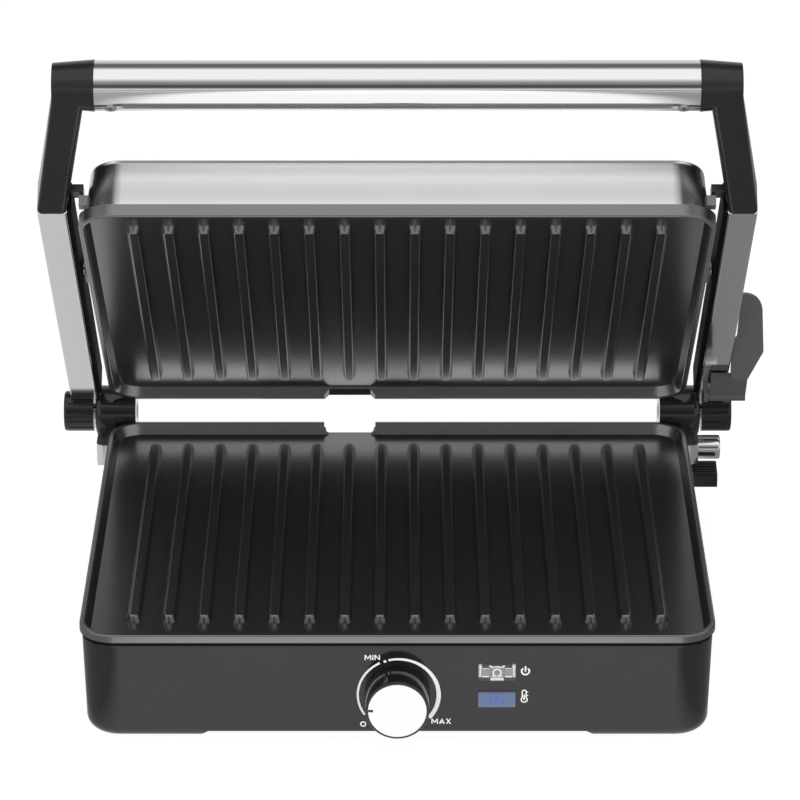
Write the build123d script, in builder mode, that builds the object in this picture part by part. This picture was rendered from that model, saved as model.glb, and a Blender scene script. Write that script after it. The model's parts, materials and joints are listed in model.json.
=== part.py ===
from build123d import *
import os
from math import atan2, cos, degrees, radians, sin, tan

# Sizes are in millimetres. The press stands on z = 0 and faces -Y.
# The lid is drawn open: OPEN_ANGLE is how far it has swung up from lying on the base.
OPEN_ANGLE = 43.4
PRESS_GAP = 1.0
RUN_CLEAR = 0.3
PIN_CLEAR = 0.05
FACING = 0.999

# Grill plates: the rest of the press takes its width and depth from them
PLATE_W = 288.0
PLATE_D = 239.7
PLATE_R = 16.0
RIM_Z = 54.0
RIM_TOP = 2.6
RIM_DEPTH = 5.2
RIM_LEAN = 24.0
RIM_SOFT = 0.8
PLATE_FLOOR = 4.0
PAN_INSET = 7.4
SKIRT_INSET = 3.0
SKIRT_T = 2.0
LOWER_BAND = 3.7
UPPER_BAND = 6.1
RIB_COUNT = 16
RIB_MARGIN = 24.0
RIB_END = 22.35
RIB_W = 6.6
RIB_H = 3.8
RIB_TAPER = 17.0
RIB_SOFT = 0.9
SPOUT_W = 25.6
SPOUT_BEVEL = 2.4
SPOUT_LIP = 2.7

# Base housing
SIDE_STEP = 1.0
FRONT_STEP = 0.35
CORNER_STEP = 1.0
DRAFT = 1.5
SHADOW_GAP = 2.0
WALL = 4.5
FLOOR_T = 2.5
BELLY_Z = 4.6
FOOT_Z = 1.0
FOOT_ROUND = 6.0
FOOT_W = 57.0
FOOT_D = 44.5
ARCH_SLANT = 4.6
LEDGE_W = 6.0
LEDGE_T = 3.0
PLATE_CLEAR = 0.4
TOP_BEVEL = 0.6
SERVICE_FRONT = 19.5
SERVICE_REAR = 79.5
COVER_LAP = 5.0
COVER_GAP = 1.0
COVER_T = 2.0
PAD_R = 8.0
PAD_SINK = 1.0
PAD_INSET = 28.0
SCREW_R = 1.5
SCREW_HEAD_R = 2.8
SCREW_HEAD_T = 1.2

# Heating
REFLECTOR_T = 1.0
REFLECTOR_DEPTH = 9.0
ELEMENT_R = 3.2
ELEMENT_CLEAR = 0.3
ELEMENT_INSET = 33.0
ELEMENT_BEND = 20.0
ELEMENT_TAIL = 28.0
ELEMENT_TAIL_X = 24.0

# Dial and lamps, measured down from the top of the front panel
KNOB_DOWN = 24.7
KNOB_R = 14.9
KNOB_LONG = 15.0
KNOB_TAPER = 2.0
KNOB_LIFT = 0.6
KNOB_SOFT = 0.8
FACE_RIM = 1.2
FACE_T = 1.0
FACE_SINK = 0.8
SHAFT_R = 3.0
SHAFT_IN_KNOB = 11.0
THERMOSTAT_W = 26.0
THERMOSTAT_D = 20.0
THERMOSTAT_H = 17.0
LAMP_X = 45.0
POWER_DOWN = 13.1
HEAT_DOWN = 26.7
LENS_W = 17.0
LENS_H = 8.6
LENS_DEEP = 6.0
LENS_PROUD = 0.3
BOARD_W = 22.0
BOARD_H = 21.0
BOARD_T = 1.6
BOARD_STAND = 3.5
BOARD_POST_R = 2.2
LAMP_R = 2.5
LAMP_LONG = 1.6

# Rear of the base
INLET_X = 70.0
INLET_Z = 22.0
INLET_R = 6.3
INLET_BORE = 4.0
INLET_FLANGE_R = 9.0
INLET_FLANGE_T = 2.0
TRAY_W = 92.0
TRAY_H = 20.0
TRAY_T = 1.8
TRAY_INSIDE = 55.5
TRAY_CATCH = 14.5

# Hinge: steps across are measured from the side of the plate
BARREL_R = 13.0
BARREL_GAP = 0.35
BARREL_SOFT = 3.0
HINGE_DROP = 0.1
TOWER_LAP = 12.4
TOWER_REACH = 8.0
STEM_W = 15.5
STEM_DOWN = 36.3
STEM_DEEP = 25.0
PIN_R = 4.0
PIN_SET = 3.0
DRUM_R = 10.1
DRUM_GAP = 1.1
DRUM_LONG = 14.9
DRUM_CAP = 1.6
DRUM_SOFT = 1.2
GROOVES = 14
GROOVE_R = 0.7

# Arms, in the hinge frame: forward is -y and up is +z with the lid shut
ARM_GAP = 6.4
ARM_T = 13.6
ARM_H = 17.0
ARM_SHORT = 26.05
ARM_LOW = 0.4
ARM_RISE = 3.25
ARM_SOFT = 1.0
LINER_T = 2.0
LINER_INSET = 1.6
LINER_REAR = 18.0

# Handle
BAR_AHEAD = 48.0
BAR_RAISE = 42.2
BAR_R = 11.35
BAR_WALL = 1.5
CAP_LAP = 8.7
CAP_REACH = 10.2
CAP_WALL = 0.4
CAP_TAPER = 4.5
ELBOW_W = 15.0
ELBOW_ROUND = 2.5
PEG_LONG = 11.0
HANDLE_SCREW_IN = 7.3
HANDLE_SCREW_SINK = 1.0

# Lid
LID_SIDE_STEP = 2.4
LID_FRONT_STEP = 4.35
LID_H = 25.3
LID_DRAFT = 5.0
LID_SOFT = 4.0
LID_WALL = 1.5
LID_SEAM = 0.3
POST_R = 2.5
PIVOT_AHEAD = 16.2
PIVOT_R = 3.0
PIVOT_IN_ARM = 4.0
BRACKET_SIDE = 11.0
BRACKET_GAP = 1.2
STOP_AHEAD = 4.7
STOP_RAISE = 9.3
STOP_LONG = 6.6
STOP_H = 4.0
STOP_GAP = 0.9
STOP_PLAY = 1.1
STOP_IN_ELBOW = 4.0
LUG_LONG = 5.0
LUG_H = 5.0
LUG_T = 3.0

# Release lever under the right arm
AXLE_FORWARD = 30.0
AXLE_DROP = 2.6
AXLE_R = 1.6
KNUCKLE_R = 2.8
LEVER_T = 3.0
LEVER_FOOT = 19.0
FOOT_TILT = 11.0
THUMB_TILT = 50.0
LEVER_STEP = 4.6
FOOT_REACH = 9.0
THUMB_REACH = 16.4
THUMB_LONG = 42.8
THUMB_GAP = 0.6
THUMB_WAIST = 17.5
THUMB_BULGE = 12.9
THUMB_TIP = 3.2
THUMB_ROUND = 8.7
EAR_T = 2.1
EAR_HALF = 4.0
EAR_BOTTOM = 4.7

# Cheeks, button and latch, measured forward from the towers
CHEEK_LAP = 5.0
CHEEK_REACH = 6.2
CHEEK_LONG = 21.0
CHEEK_H = 14.3
CHEEK_GAP = 0.5
CHEEK_ROUND = 4.0
NOSE_LONG = 7.8
NOSE_H = 10.3
RAIL_LONG = 34.2
RAIL_T = 3.4
BUTTON_AHEAD = 7.0
BUTTON_DOWN = 6.9
BUTTON_R = 6.0
BUTTON_PROUD = 11.3
BUTTON_SET = 2.2
BUTTON_SOFT = 1.0
BUTTON_TRAVEL = 3.5
LATCH_AHEAD = 13.8
LATCH_LONG = 12.8
LATCH_PROUD = 9.2
LATCH_DROP = 1.2
LATCH_NOSE = 6.1
LATCH_BACK = 8.6
LATCH_TRAVEL = 6.0
LATCH_RIBS = 5
LATCH_RIB_R = 0.7
TONGUE_H = 3.6
TONGUE_LONG = 8.0
TONGUE_SET = 3.2

# Plates and what lies behind them
PAN_DEPTH = RIM_DEPTH + PLATE_FLOOR
PAN_W = PLATE_W - 2 * PAN_INSET
PAN_D = PLATE_D - 2 * PAN_INSET
PAN_R = PLATE_R - 2 * CORNER_STEP
SKIRT_DEPTH = RIM_DEPTH + SKIRT_T
RIB_PITCH = (PLATE_W - 2 * RIB_MARGIN) / (RIB_COUNT - 1)
RIB_LENGTH = PLATE_D - 2 * RIB_END
SPOUT_X = -1.5 * RIB_PITCH

# Housing
BASE_W = PLATE_W - 2 * SIDE_STEP
BASE_D = PLATE_D - 2 * FRONT_STEP
BASE_R = PLATE_R + CORNER_STEP
HOUSING_TOP = RIM_Z - LOWER_BAND - SHADOW_GAP
LEDGE_Z = RIM_Z - PAN_DEPTH - REFLECTOR_T
FLOOR_TOP = BELLY_Z + FLOOR_T
FRONT_WALL = BASE_D / 2 - WALL
FRONT_ARCH = BASE_W - 2 * FOOT_W
SIDE_ARCH = BASE_D - 2 * FOOT_D
SERVICE_W = FRONT_ARCH - 2 * (COVER_LAP + COVER_GAP)
SERVICE_D = BASE_D - SERVICE_FRONT - SERVICE_REAR
SERVICE_Y = (SERVICE_FRONT - SERVICE_REAR) / 2
TRAY_FLOOR = FLOOR_TOP + RUN_CLEAR
KNOB_Z = HOUSING_TOP - KNOB_DOWN
POWER_Z = HOUSING_TOP - POWER_DOWN
HEAT_Z = HOUSING_TOP - HEAT_DOWN

# Hinge and cheeks
HINGE_Y = PLATE_D / 2 + BARREL_R + BARREL_GAP
HINGE_Z = RIM_Z - HINGE_DROP
TOWER_IN = PLATE_W / 2 - TOWER_LAP
TOWER_OUT = PLATE_W / 2 + TOWER_REACH
STEM_BOTTOM = HOUSING_TOP - STEM_DOWN
STEM_FRONT = HINGE_Y - BARREL_R
DRUM_IN = TOWER_OUT + DRUM_GAP
DRUM_OUT = DRUM_IN + DRUM_LONG
CHEEK_IN = PLATE_W / 2 - CHEEK_LAP
CHEEK_OUT = PLATE_W / 2 + CHEEK_REACH
CHEEK_FRONT = STEM_FRONT - CHEEK_LONG
CHEEK_TOP = RIM_Z - LOWER_BAND - CHEEK_GAP
CHEEK_BOTTOM = CHEEK_TOP - CHEEK_H
CHEEK_STEP = CHEEK_FRONT + NOSE_LONG
NOSE_BOTTOM = CHEEK_TOP - NOSE_H
RAIL_FRONT = STEM_FRONT - RAIL_LONG
RAIL_OUT = BASE_W / 2 + RAIL_T
STEM_FOOT_TOP = CHEEK_BOTTOM - RUN_CLEAR
BUTTON_Y = STEM_FRONT - BUTTON_AHEAD
BUTTON_Z = CHEEK_TOP - BUTTON_DOWN
BUTTON_IN = CHEEK_OUT - BUTTON_SET
BUTTON_OUT = CHEEK_OUT + BUTTON_PROUD
LATCH_FRONT = STEM_FRONT - LATCH_AHEAD - LATCH_LONG
LATCH_BOTTOM = NOSE_BOTTOM - LATCH_DROP - LATCH_BACK
LATCH_OUT = CHEEK_OUT + LATCH_PROUD
LATCH_IN = RAIL_OUT + RUN_CLEAR
TONGUE_IN = LATCH_IN - TONGUE_SET

# Arms, handle and lid
ARM_IN = PLATE_W / 2 + ARM_GAP
ARM_OUT = ARM_IN + ARM_T
ARM_SLOPE = tan(radians(ARM_RISE))
ARM_FRONT = HINGE_Y + PLATE_D / 2 - ARM_SHORT
ARM_UNDER = ARM_LOW + ARM_FRONT * ARM_SLOPE
BAR_FORWARD = ARM_FRONT + BAR_AHEAD
BAR_UP = ARM_UNDER + BAR_RAISE
CAP_IN = PLATE_W / 2 - CAP_LAP
CAP_OUT = PLATE_W / 2 + CAP_REACH
CAP_R = BAR_R + CAP_WALL
ELBOW_DEEP = 2 * (CAP_R - (CAP_OUT - CAP_IN) * tan(radians(CAP_TAPER)))
PEG_R = BAR_R - BAR_WALL - PIN_CLEAR
HANDLE_SCREW_X = CAP_IN - HANDLE_SCREW_IN
HANDLE_SEAT = BAR_UP - BAR_R + HANDLE_SCREW_SINK
LID_W = PLATE_W - 2 * LID_SIDE_STEP
LID_D = PLATE_D - 2 * LID_FRONT_STEP
LID_R = PLATE_R + CORNER_STEP
UPPER_RIM = RIM_Z + PRESS_GAP - HINGE_Z
LID_BASE = UPPER_RIM + UPPER_BAND + LID_SEAM
PIVOT_FORWARD = HINGE_Y + PIVOT_AHEAD
PIVOT_UP = ARM_LOW + PIVOT_FORWARD * ARM_SLOPE + ARM_H / 2
BRACKET_T = ARM_IN - LINER_T - BRACKET_GAP - LID_W / 2
STOP_FORWARD = ARM_FRONT + STOP_AHEAD
STOP_UP = ARM_UNDER + STOP_RAISE
LEVER_IN = ARM_IN + LEVER_STEP
LEVER_FOOT_OUT = ARM_OUT + FOOT_REACH
LEVER_OUT = ARM_OUT + THUMB_REACH
THUMB_TIP_IN = ARM_OUT + THUMB_TIP
OPEN = radians(OPEN_ANGLE)

# The hinge frame swings with the lid: x runs across, y to the rear and z up when shut
HINGE = Plane(origin=(0, HINGE_Y, HINGE_Z), x_dir=(1, 0, 0), z_dir=(0, sin(OPEN), cos(OPEN)))
LOWER_FACE = Plane.XY.offset(RIM_Z)
UPPER_FACE = Plane(
    origin=HINGE.from_local_coords((0, -HINGE_Y, UPPER_RIM)), x_dir=(1, 0, 0), z_dir=-HINGE.z_dir
)


def arm_side(x):
    """Upright plane along the arm at this x: its axes are the hinge frame's y and z."""
    return Plane(origin=HINGE.from_local_coords((x, 0, 0)), x_dir=HINGE.y_dir, z_dir=(1, 0, 0))


def panel_y(z):
    """Depth of the drafted front or rear face at a height."""
    return BASE_D / 2 - (HOUSING_TOP - z) * tan(radians(DRAFT))


def arm_under(forward):
    """Height of the arm's underside in the hinge frame, this far in front of the hinge."""
    return ARM_UNDER - (ARM_FRONT - forward) * ARM_SLOPE


def save(piece, label):
    """Label a finished piece and write it to its own file."""
    piece.part.label = label
    export_step(piece.part, f"parts/{label}.step")


def save_pair(right, name):
    """Write a right-hand piece and its mirror image across the middle of the press."""
    with BuildPart() as left:
        mirror(right.part, about=Plane.YZ)
    save(right, f"{name}_right")
    save(left, f"{name}_left")


def grill_plate(face, band, skirt_inset, rear, lip):
    """Cast plate whose rim lies on the face plane; rear is the sign of y towards its spout.

    The spout's floor climbs by lip on its way out through the rim.
    """
    skirt_r = PLATE_R - skirt_inset / 2
    with BuildPart() as plate:
        with BuildSketch(face):
            RectangleRounded(PLATE_W, PLATE_D, PLATE_R)
        extrude(amount=-band)
        with BuildSketch(face.offset(-band)):
            RectangleRounded(PLATE_W - 2 * skirt_inset, PLATE_D - 2 * skirt_inset, skirt_r)
        extrude(amount=band - SKIRT_DEPTH)
        with BuildSketch(face.offset(-SKIRT_DEPTH)):
            RectangleRounded(PAN_W, PAN_D, PAN_R)
        extrude(amount=SKIRT_DEPTH - PAN_DEPTH)
        with BuildSketch(face):
            RectangleRounded(PLATE_W - 2 * RIM_TOP, PLATE_D - 2 * RIM_TOP, PLATE_R - RIM_TOP)
        extrude(amount=-RIM_DEPTH, taper=RIM_LEAN, mode=Mode.SUBTRACT)
        rim = plate.faces().filter_by(lambda f: abs(f.normal_at().dot(face.z_dir)) > FACING)
        fillet(rim.sort_by(Axis(face.origin, face.z_dir))[-1].edges(), RIM_SOFT)
        with BuildSketch(face.offset(-RIM_DEPTH)):
            with GridLocations(RIB_PITCH, RIB_PITCH, RIB_COUNT, 1):
                SlotOverall(RIB_LENGTH, RIB_W, rotation=90)
        extrude(amount=RIB_H, taper=RIB_TAPER)
        level = plate.faces().filter_by(lambda f: abs(f.normal_at().dot(face.z_dir)) > FACING)
        rib_top = face.from_local_coords((0, 0, RIB_H - RIM_DEPTH))
        tops = level.filter_by(lambda f: abs((f.center() - rib_top).dot(face.z_dir)) < PIN_CLEAR)
        fillet([edge for top in tops for edge in top.edges()], RIB_SOFT)
        spout_foot = SPOUT_W / 2 - SPOUT_BEVEL
        spout_end = rear * PLATE_D / 2
        spout_deep = RIM_DEPTH - lip
        spout_top = rear * (RIM_SOFT + lip)
        spout_plane = Plane(
            origin=face.from_local_coords((SPOUT_X, spout_end, 0)), x_dir=(1, 0, 0), z_dir=-rear * face.y_dir
        )
        with BuildSketch(spout_plane):
            with BuildLine():
                Polyline(
                    (-SPOUT_W / 2, spout_top),
                    (-SPOUT_W / 2, rear * (SPOUT_BEVEL - spout_deep)),
                    (-spout_foot, -rear * spout_deep),
                    (spout_foot, -rear * spout_deep),
                    (SPOUT_W / 2, rear * (SPOUT_BEVEL - spout_deep)),
                    (SPOUT_W / 2, spout_top),
                    close=True,
                )
            make_face()
        inward = -face.y_dir * rear * PAN_INSET - face.z_dir * lip
        extrude(amount=PAN_INSET, dir=inward.normalized(), both=True, mode=Mode.SUBTRACT)
    return plate


def reflector(face):
    """Thin pan behind a plate, hung by a flange that lies against the plate's back."""
    well_w = PAN_W - 2 * (LEDGE_W + PLATE_CLEAR)
    well_d = PAN_D - 2 * (LEDGE_W + PLATE_CLEAR)
    with BuildPart() as pan:
        with BuildSketch(face.offset(-PAN_DEPTH)):
            RectangleRounded(PAN_W, PAN_D, PAN_R)
        extrude(amount=-REFLECTOR_T)
        with BuildSketch(face.offset(-PAN_DEPTH - REFLECTOR_T)):
            Rectangle(well_w, well_d)
        extrude(amount=REFLECTOR_T - REFLECTOR_DEPTH)
        with BuildSketch(face.offset(-PAN_DEPTH)):
            Rectangle(well_w - 2 * REFLECTOR_T, well_d - 2 * REFLECTOR_T)
        extrude(amount=REFLECTOR_T - REFLECTOR_DEPTH, mode=Mode.SUBTRACT)
    return pan


def heating_element(face):
    """Bent tube that runs round under a plate, with both tails in the middle of one side."""
    reach_x = PLATE_W / 2 - ELEMENT_INSET
    reach_y = PLATE_D / 2 - ELEMENT_INSET
    level = face.offset(-PAN_DEPTH - ELEMENT_CLEAR - ELEMENT_R)
    with BuildPart() as element:
        with BuildLine(level):
            route = FilletPolyline(
                (-ELEMENT_TAIL_X, ELEMENT_TAIL - reach_y),
                (-ELEMENT_TAIL_X, -reach_y),
                (-reach_x, -reach_y),
                (-reach_x, reach_y),
                (reach_x, reach_y),
                (reach_x, -reach_y),
                (ELEMENT_TAIL_X, -reach_y),
                (ELEMENT_TAIL_X, ELEMENT_TAIL - reach_y),
                radius=ELEMENT_BEND,
            )
        with BuildSketch(Plane(route @ 0, z_dir=route % 0)):
            Circle(ELEMENT_R)
        sweep()
    return element


os.makedirs("parts", exist_ok=True)

# Housing: a drafted box on four corner feet, with a ledge that carries the lower plate
cavity_w = BASE_W - 2 * WALL
cavity_d = BASE_D - 2 * WALL
skirt_w = PLATE_W - 2 * SKIRT_INSET + 2 * PLATE_CLEAR
skirt_d = PLATE_D - 2 * SKIRT_INSET + 2 * PLATE_CLEAR
foot_x = BASE_W / 2 - PAD_INSET
foot_y = BASE_D / 2 - PAD_INSET
cover_w = SERVICE_W + 2 * COVER_LAP
cover_d = SERVICE_D + 2 * COVER_LAP
screw_grid = (SERVICE_W + COVER_LAP, SERVICE_D + COVER_LAP)
tower_screw_x = TOWER_IN + 2 * SCREW_R
tower_screw_z = (STEM_BOTTOM + 3 * SCREW_R, STEM_FOOT_TOP - 3 * SCREW_R)
tower_screw_spots = [(s * tower_screw_x, z) for s in (-1, 1) for z in tower_screw_z]
with BuildPart() as housing_block:
    with BuildSketch(Plane.XY.offset(HOUSING_TOP)):
        RectangleRounded(BASE_W, BASE_D, BASE_R)
    extrude(amount=FOOT_Z - HOUSING_TOP, taper=DRAFT)

with BuildPart() as housing:
    add(housing_block.part)
    fillet(housing.faces().sort_by(Axis.Z)[0].edges(), FOOT_ROUND)
    chamfer(housing.faces().sort_by(Axis.Z)[-1].edges(), TOP_BEVEL)
    for side, arch, through in ((Plane.XZ, FRONT_ARCH, BASE_D), (Plane.YZ, SIDE_ARCH, BASE_W)):
        with BuildSketch(side):
            with BuildLine():
                Polyline(
                    (-arch / 2 - ARCH_SLANT, FOOT_Z),
                    (-arch / 2, BELLY_Z),
                    (arch / 2, BELLY_Z),
                    (arch / 2 + ARCH_SLANT, FOOT_Z),
                    close=True,
                )
            make_face()
        extrude(amount=through, both=True, mode=Mode.SUBTRACT)
    with BuildSketch(Plane.XY.offset(FLOOR_TOP)):
        RectangleRounded(cavity_w, cavity_d, BASE_R - WALL)
    extrude(amount=LEDGE_Z - LEDGE_T - FLOOR_TOP, mode=Mode.SUBTRACT)
    with BuildSketch(Plane.XY.offset(LEDGE_Z)):
        RectangleRounded(PAN_W + 2 * PLATE_CLEAR, PAN_D + 2 * PLATE_CLEAR, PAN_R + PLATE_CLEAR)
    extrude(amount=HOUSING_TOP - LEDGE_Z, mode=Mode.SUBTRACT)
    with BuildSketch(Plane.XY.offset(RIM_Z - SKIRT_DEPTH - PLATE_CLEAR)):
        RectangleRounded(skirt_w, skirt_d, PLATE_R - SKIRT_INSET / 2)
    extrude(amount=HOUSING_TOP, mode=Mode.SUBTRACT)
    with BuildSketch(Plane.XY.offset(LEDGE_Z)):
        Rectangle(PAN_W - 2 * LEDGE_W, PAN_D - 2 * LEDGE_W)
    extrude(amount=-LEDGE_T, mode=Mode.SUBTRACT)
    with BuildSketch(Plane.XY.offset(FLOOR_TOP)):
        with Locations((0, SERVICE_Y)):
            Rectangle(SERVICE_W, SERVICE_D)
            with GridLocations(*screw_grid, 2, 2):
                Circle(SCREW_R + PIN_CLEAR)
    extrude(amount=-FLOOR_T, mode=Mode.SUBTRACT)
    with BuildSketch(Plane.XY.offset(FOOT_Z)):
        with GridLocations(2 * foot_x, 2 * foot_y, 2, 2):
            Circle(PAD_R + PIN_CLEAR)
    extrude(amount=PAD_SINK, mode=Mode.SUBTRACT)
    with BuildSketch(Plane.XZ.offset(FRONT_WALL)):
        with Locations((0, KNOB_Z)):
            Circle(SHAFT_R + RUN_CLEAR)
        with Locations((LAMP_X, POWER_Z), (LAMP_X, HEAT_Z)):
            Rectangle(LENS_W + 2 * PIN_CLEAR, LENS_H + 2 * PIN_CLEAR)
    extrude(amount=2 * WALL, mode=Mode.SUBTRACT)
    with BuildSketch(Plane.XZ.offset(WALL - FRONT_WALL)):
        with Locations((SPOUT_X, TRAY_FLOOR + TRAY_H / 2)):
            Rectangle(TRAY_W + 2 * RUN_CLEAR, TRAY_H + 2 * RUN_CLEAR)
        with Locations((INLET_X, INLET_Z)):
            Circle(INLET_R + PIN_CLEAR)
        with Locations(*tower_screw_spots):
            Circle(SCREW_R + PIN_CLEAR)
    extrude(amount=-3 * WALL, mode=Mode.SUBTRACT)
save(housing, "housing")

with BuildPart() as bottom_cover:
    with BuildSketch(Plane.XY.offset(BELLY_Z)):
        with Locations((0, SERVICE_Y)):
            RectangleRounded(cover_w, cover_d, COVER_LAP)
            with GridLocations(*screw_grid, 2, 2):
                Circle(SCREW_R + PIN_CLEAR, mode=Mode.SUBTRACT)
    extrude(amount=-COVER_T)
save(bottom_cover, "bottom_cover")

with BuildPart() as bottom_screws:
    with BuildSketch(Plane.XY.offset(BELLY_Z - COVER_T)):
        with Locations((0, SERVICE_Y)):
            with GridLocations(*screw_grid, 2, 2):
                Circle(SCREW_HEAD_R)
    extrude(amount=-SCREW_HEAD_T)
    with BuildSketch(Plane.XY.offset(BELLY_Z - COVER_T)):
        with Locations((0, SERVICE_Y)):
            with GridLocations(*screw_grid, 2, 2):
                Circle(SCREW_R)
    extrude(amount=COVER_T + FLOOR_T)
save(bottom_screws, "bottom_screws")

with BuildPart() as rubber_feet:
    with BuildSketch(Plane.XY):
        with GridLocations(2 * foot_x, 2 * foot_y, 2, 2):
            Circle(PAD_R)
    extrude(amount=FOOT_Z + PAD_SINK)
save(rubber_feet, "rubber_feet")

# Both plates with the pan and the element behind each
for face, band, skirt_inset, rear, lip, name in (
    (LOWER_FACE, LOWER_BAND, SKIRT_INSET, 1, 0, "lower"),
    (UPPER_FACE, UPPER_BAND, PAN_INSET, -1, SPOUT_LIP, "upper"),
):
    save(grill_plate(face, band, skirt_inset, rear, lip), f"{name}_plate")
    save(reflector(face), f"{name}_reflector")
    save(heating_element(face), f"{name}_element")

# Dial: thermostat behind the panel, with a shaft that carries the knob
knob_back = panel_y(KNOB_Z) + KNOB_LIFT
knob_front = knob_back + KNOB_LONG
face_r = KNOB_R - KNOB_LONG * tan(radians(KNOB_TAPER)) - FACE_RIM
with BuildPart() as thermostat:
    with BuildSketch(Plane.XZ.offset(FRONT_WALL)):
        with Locations((0, KNOB_Z)):
            RectangleRounded(THERMOSTAT_W, THERMOSTAT_H, SHAFT_R)
            Circle(SHAFT_R + PIN_CLEAR, mode=Mode.SUBTRACT)
    extrude(amount=-THERMOSTAT_D)
save(thermostat, "thermostat")

with BuildPart() as knob_shaft:
    with BuildSketch(Plane.XZ.offset(FRONT_WALL - THERMOSTAT_D)):
        with Locations((0, KNOB_Z)):
            Circle(SHAFT_R)
    extrude(amount=knob_back + SHAFT_IN_KNOB - FRONT_WALL + THERMOSTAT_D)
save(knob_shaft, "knob_shaft")

with BuildPart() as knob:
    with BuildSketch(Plane.XZ.offset(knob_back)):
        with Locations((0, KNOB_Z)):
            Circle(KNOB_R)
    extrude(amount=KNOB_LONG, taper=KNOB_TAPER)
    fillet(knob.faces().sort_by(Axis.Y)[0].edges(), KNOB_SOFT)
    with BuildSketch(Plane.XZ.offset(knob_front)):
        with Locations((0, KNOB_Z)):
            Circle(face_r + PIN_CLEAR)
    extrude(amount=-FACE_SINK, mode=Mode.SUBTRACT)
    with BuildSketch(Plane.XZ.offset(knob_back)):
        with Locations((0, KNOB_Z)):
            Circle(SHAFT_R + PIN_CLEAR)
    extrude(amount=SHAFT_IN_KNOB + PIN_CLEAR, mode=Mode.SUBTRACT)
save(knob, "knob")

with BuildPart() as knob_face:
    with BuildSketch(Plane.XZ.offset(knob_front - FACE_SINK)):
        with Locations((0, KNOB_Z)):
            Circle(face_r)
    extrude(amount=FACE_T)
    fillet(knob_face.faces().sort_by(Axis.Y)[0].edges(), FACE_T - FACE_SINK)
save(knob_face, "knob_face")

# Indicator lenses, and the board that stands behind them with a lamp for each
for lens_z, name in ((POWER_Z, "power_lens"), (HEAT_Z, "heat_lens")):
    with BuildPart() as lens:
        with BuildSketch(Plane.XZ.offset(panel_y(lens_z) + LENS_PROUD)):
            with Locations((LAMP_X, lens_z)):
                RectangleRounded(LENS_W, LENS_H, 2 * LENS_PROUD)
        extrude(amount=-LENS_DEEP)
        fillet(lens.faces().sort_by(Axis.Y)[0].edges(), LENS_PROUD)
    save(lens, name)

board_z = (POWER_Z + HEAT_Z) / 2
board_front = FRONT_WALL - BOARD_STAND
with BuildPart() as lamp_board:
    with BuildSketch(Plane.XZ.offset(board_front)):
        with Locations((LAMP_X, board_z)):
            Rectangle(BOARD_W, BOARD_H)
    extrude(amount=-BOARD_T)
    with BuildSketch(Plane.XZ.offset(board_front)):
        with Locations((LAMP_X, board_z)):
            Circle(BOARD_POST_R)
    extrude(amount=BOARD_STAND)
save(lamp_board, "lamp_board")

with BuildPart() as indicator_lamps:
    with BuildSketch(Plane.XZ.offset(board_front)):
        with Locations((LAMP_X, POWER_Z), (LAMP_X, HEAT_Z)):
            Circle(LAMP_R)
    extrude(amount=LAMP_LONG)
save(indicator_lamps, "indicator_lamps")

# Cord inlet bush in the rear wall
with BuildPart() as cord_inlet:
    with BuildSketch(Plane.XZ.offset(-panel_y(INLET_Z) - RUN_CLEAR)):
        with Locations((INLET_X, INLET_Z)):
            Circle(INLET_FLANGE_R)
    extrude(amount=-INLET_FLANGE_T)
    with BuildSketch(Plane.XZ.offset(-FRONT_WALL)):
        with Locations((INLET_X, INLET_Z)):
            Circle(INLET_R)
    extrude(amount=FRONT_WALL - panel_y(INLET_Z) - RUN_CLEAR)
    with BuildSketch(Plane.XZ.offset(-FRONT_WALL)):
        with Locations((INLET_X, INLET_Z)):
            Circle(INLET_BORE)
    extrude(amount=-2 * WALL, mode=Mode.SUBTRACT)
save(cord_inlet, "cord_inlet")

# Drip tray: slides in from the rear, and its mouth stays out under the spouts
tray_inner = FRONT_WALL - TRAY_INSIDE
tray_outer = BASE_D / 2 + TRAY_CATCH
tray_mid = (tray_inner + tray_outer) / 2
with BuildPart() as drip_tray:
    with BuildSketch(Plane.XY.offset(TRAY_FLOOR)):
        with Locations((SPOUT_X, tray_mid)):
            RectangleRounded(TRAY_W, tray_outer - tray_inner, 2 * TRAY_T)
    extrude(amount=TRAY_H)
    with BuildSketch(Plane.XY.offset(TRAY_FLOOR + TRAY_T)):
        with Locations((SPOUT_X, tray_mid)):
            Rectangle(TRAY_W - 2 * TRAY_T, tray_outer - tray_inner - 2 * TRAY_T)
    extrude(amount=TRAY_H, mode=Mode.SUBTRACT)
save(drip_tray, "drip_tray")

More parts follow.
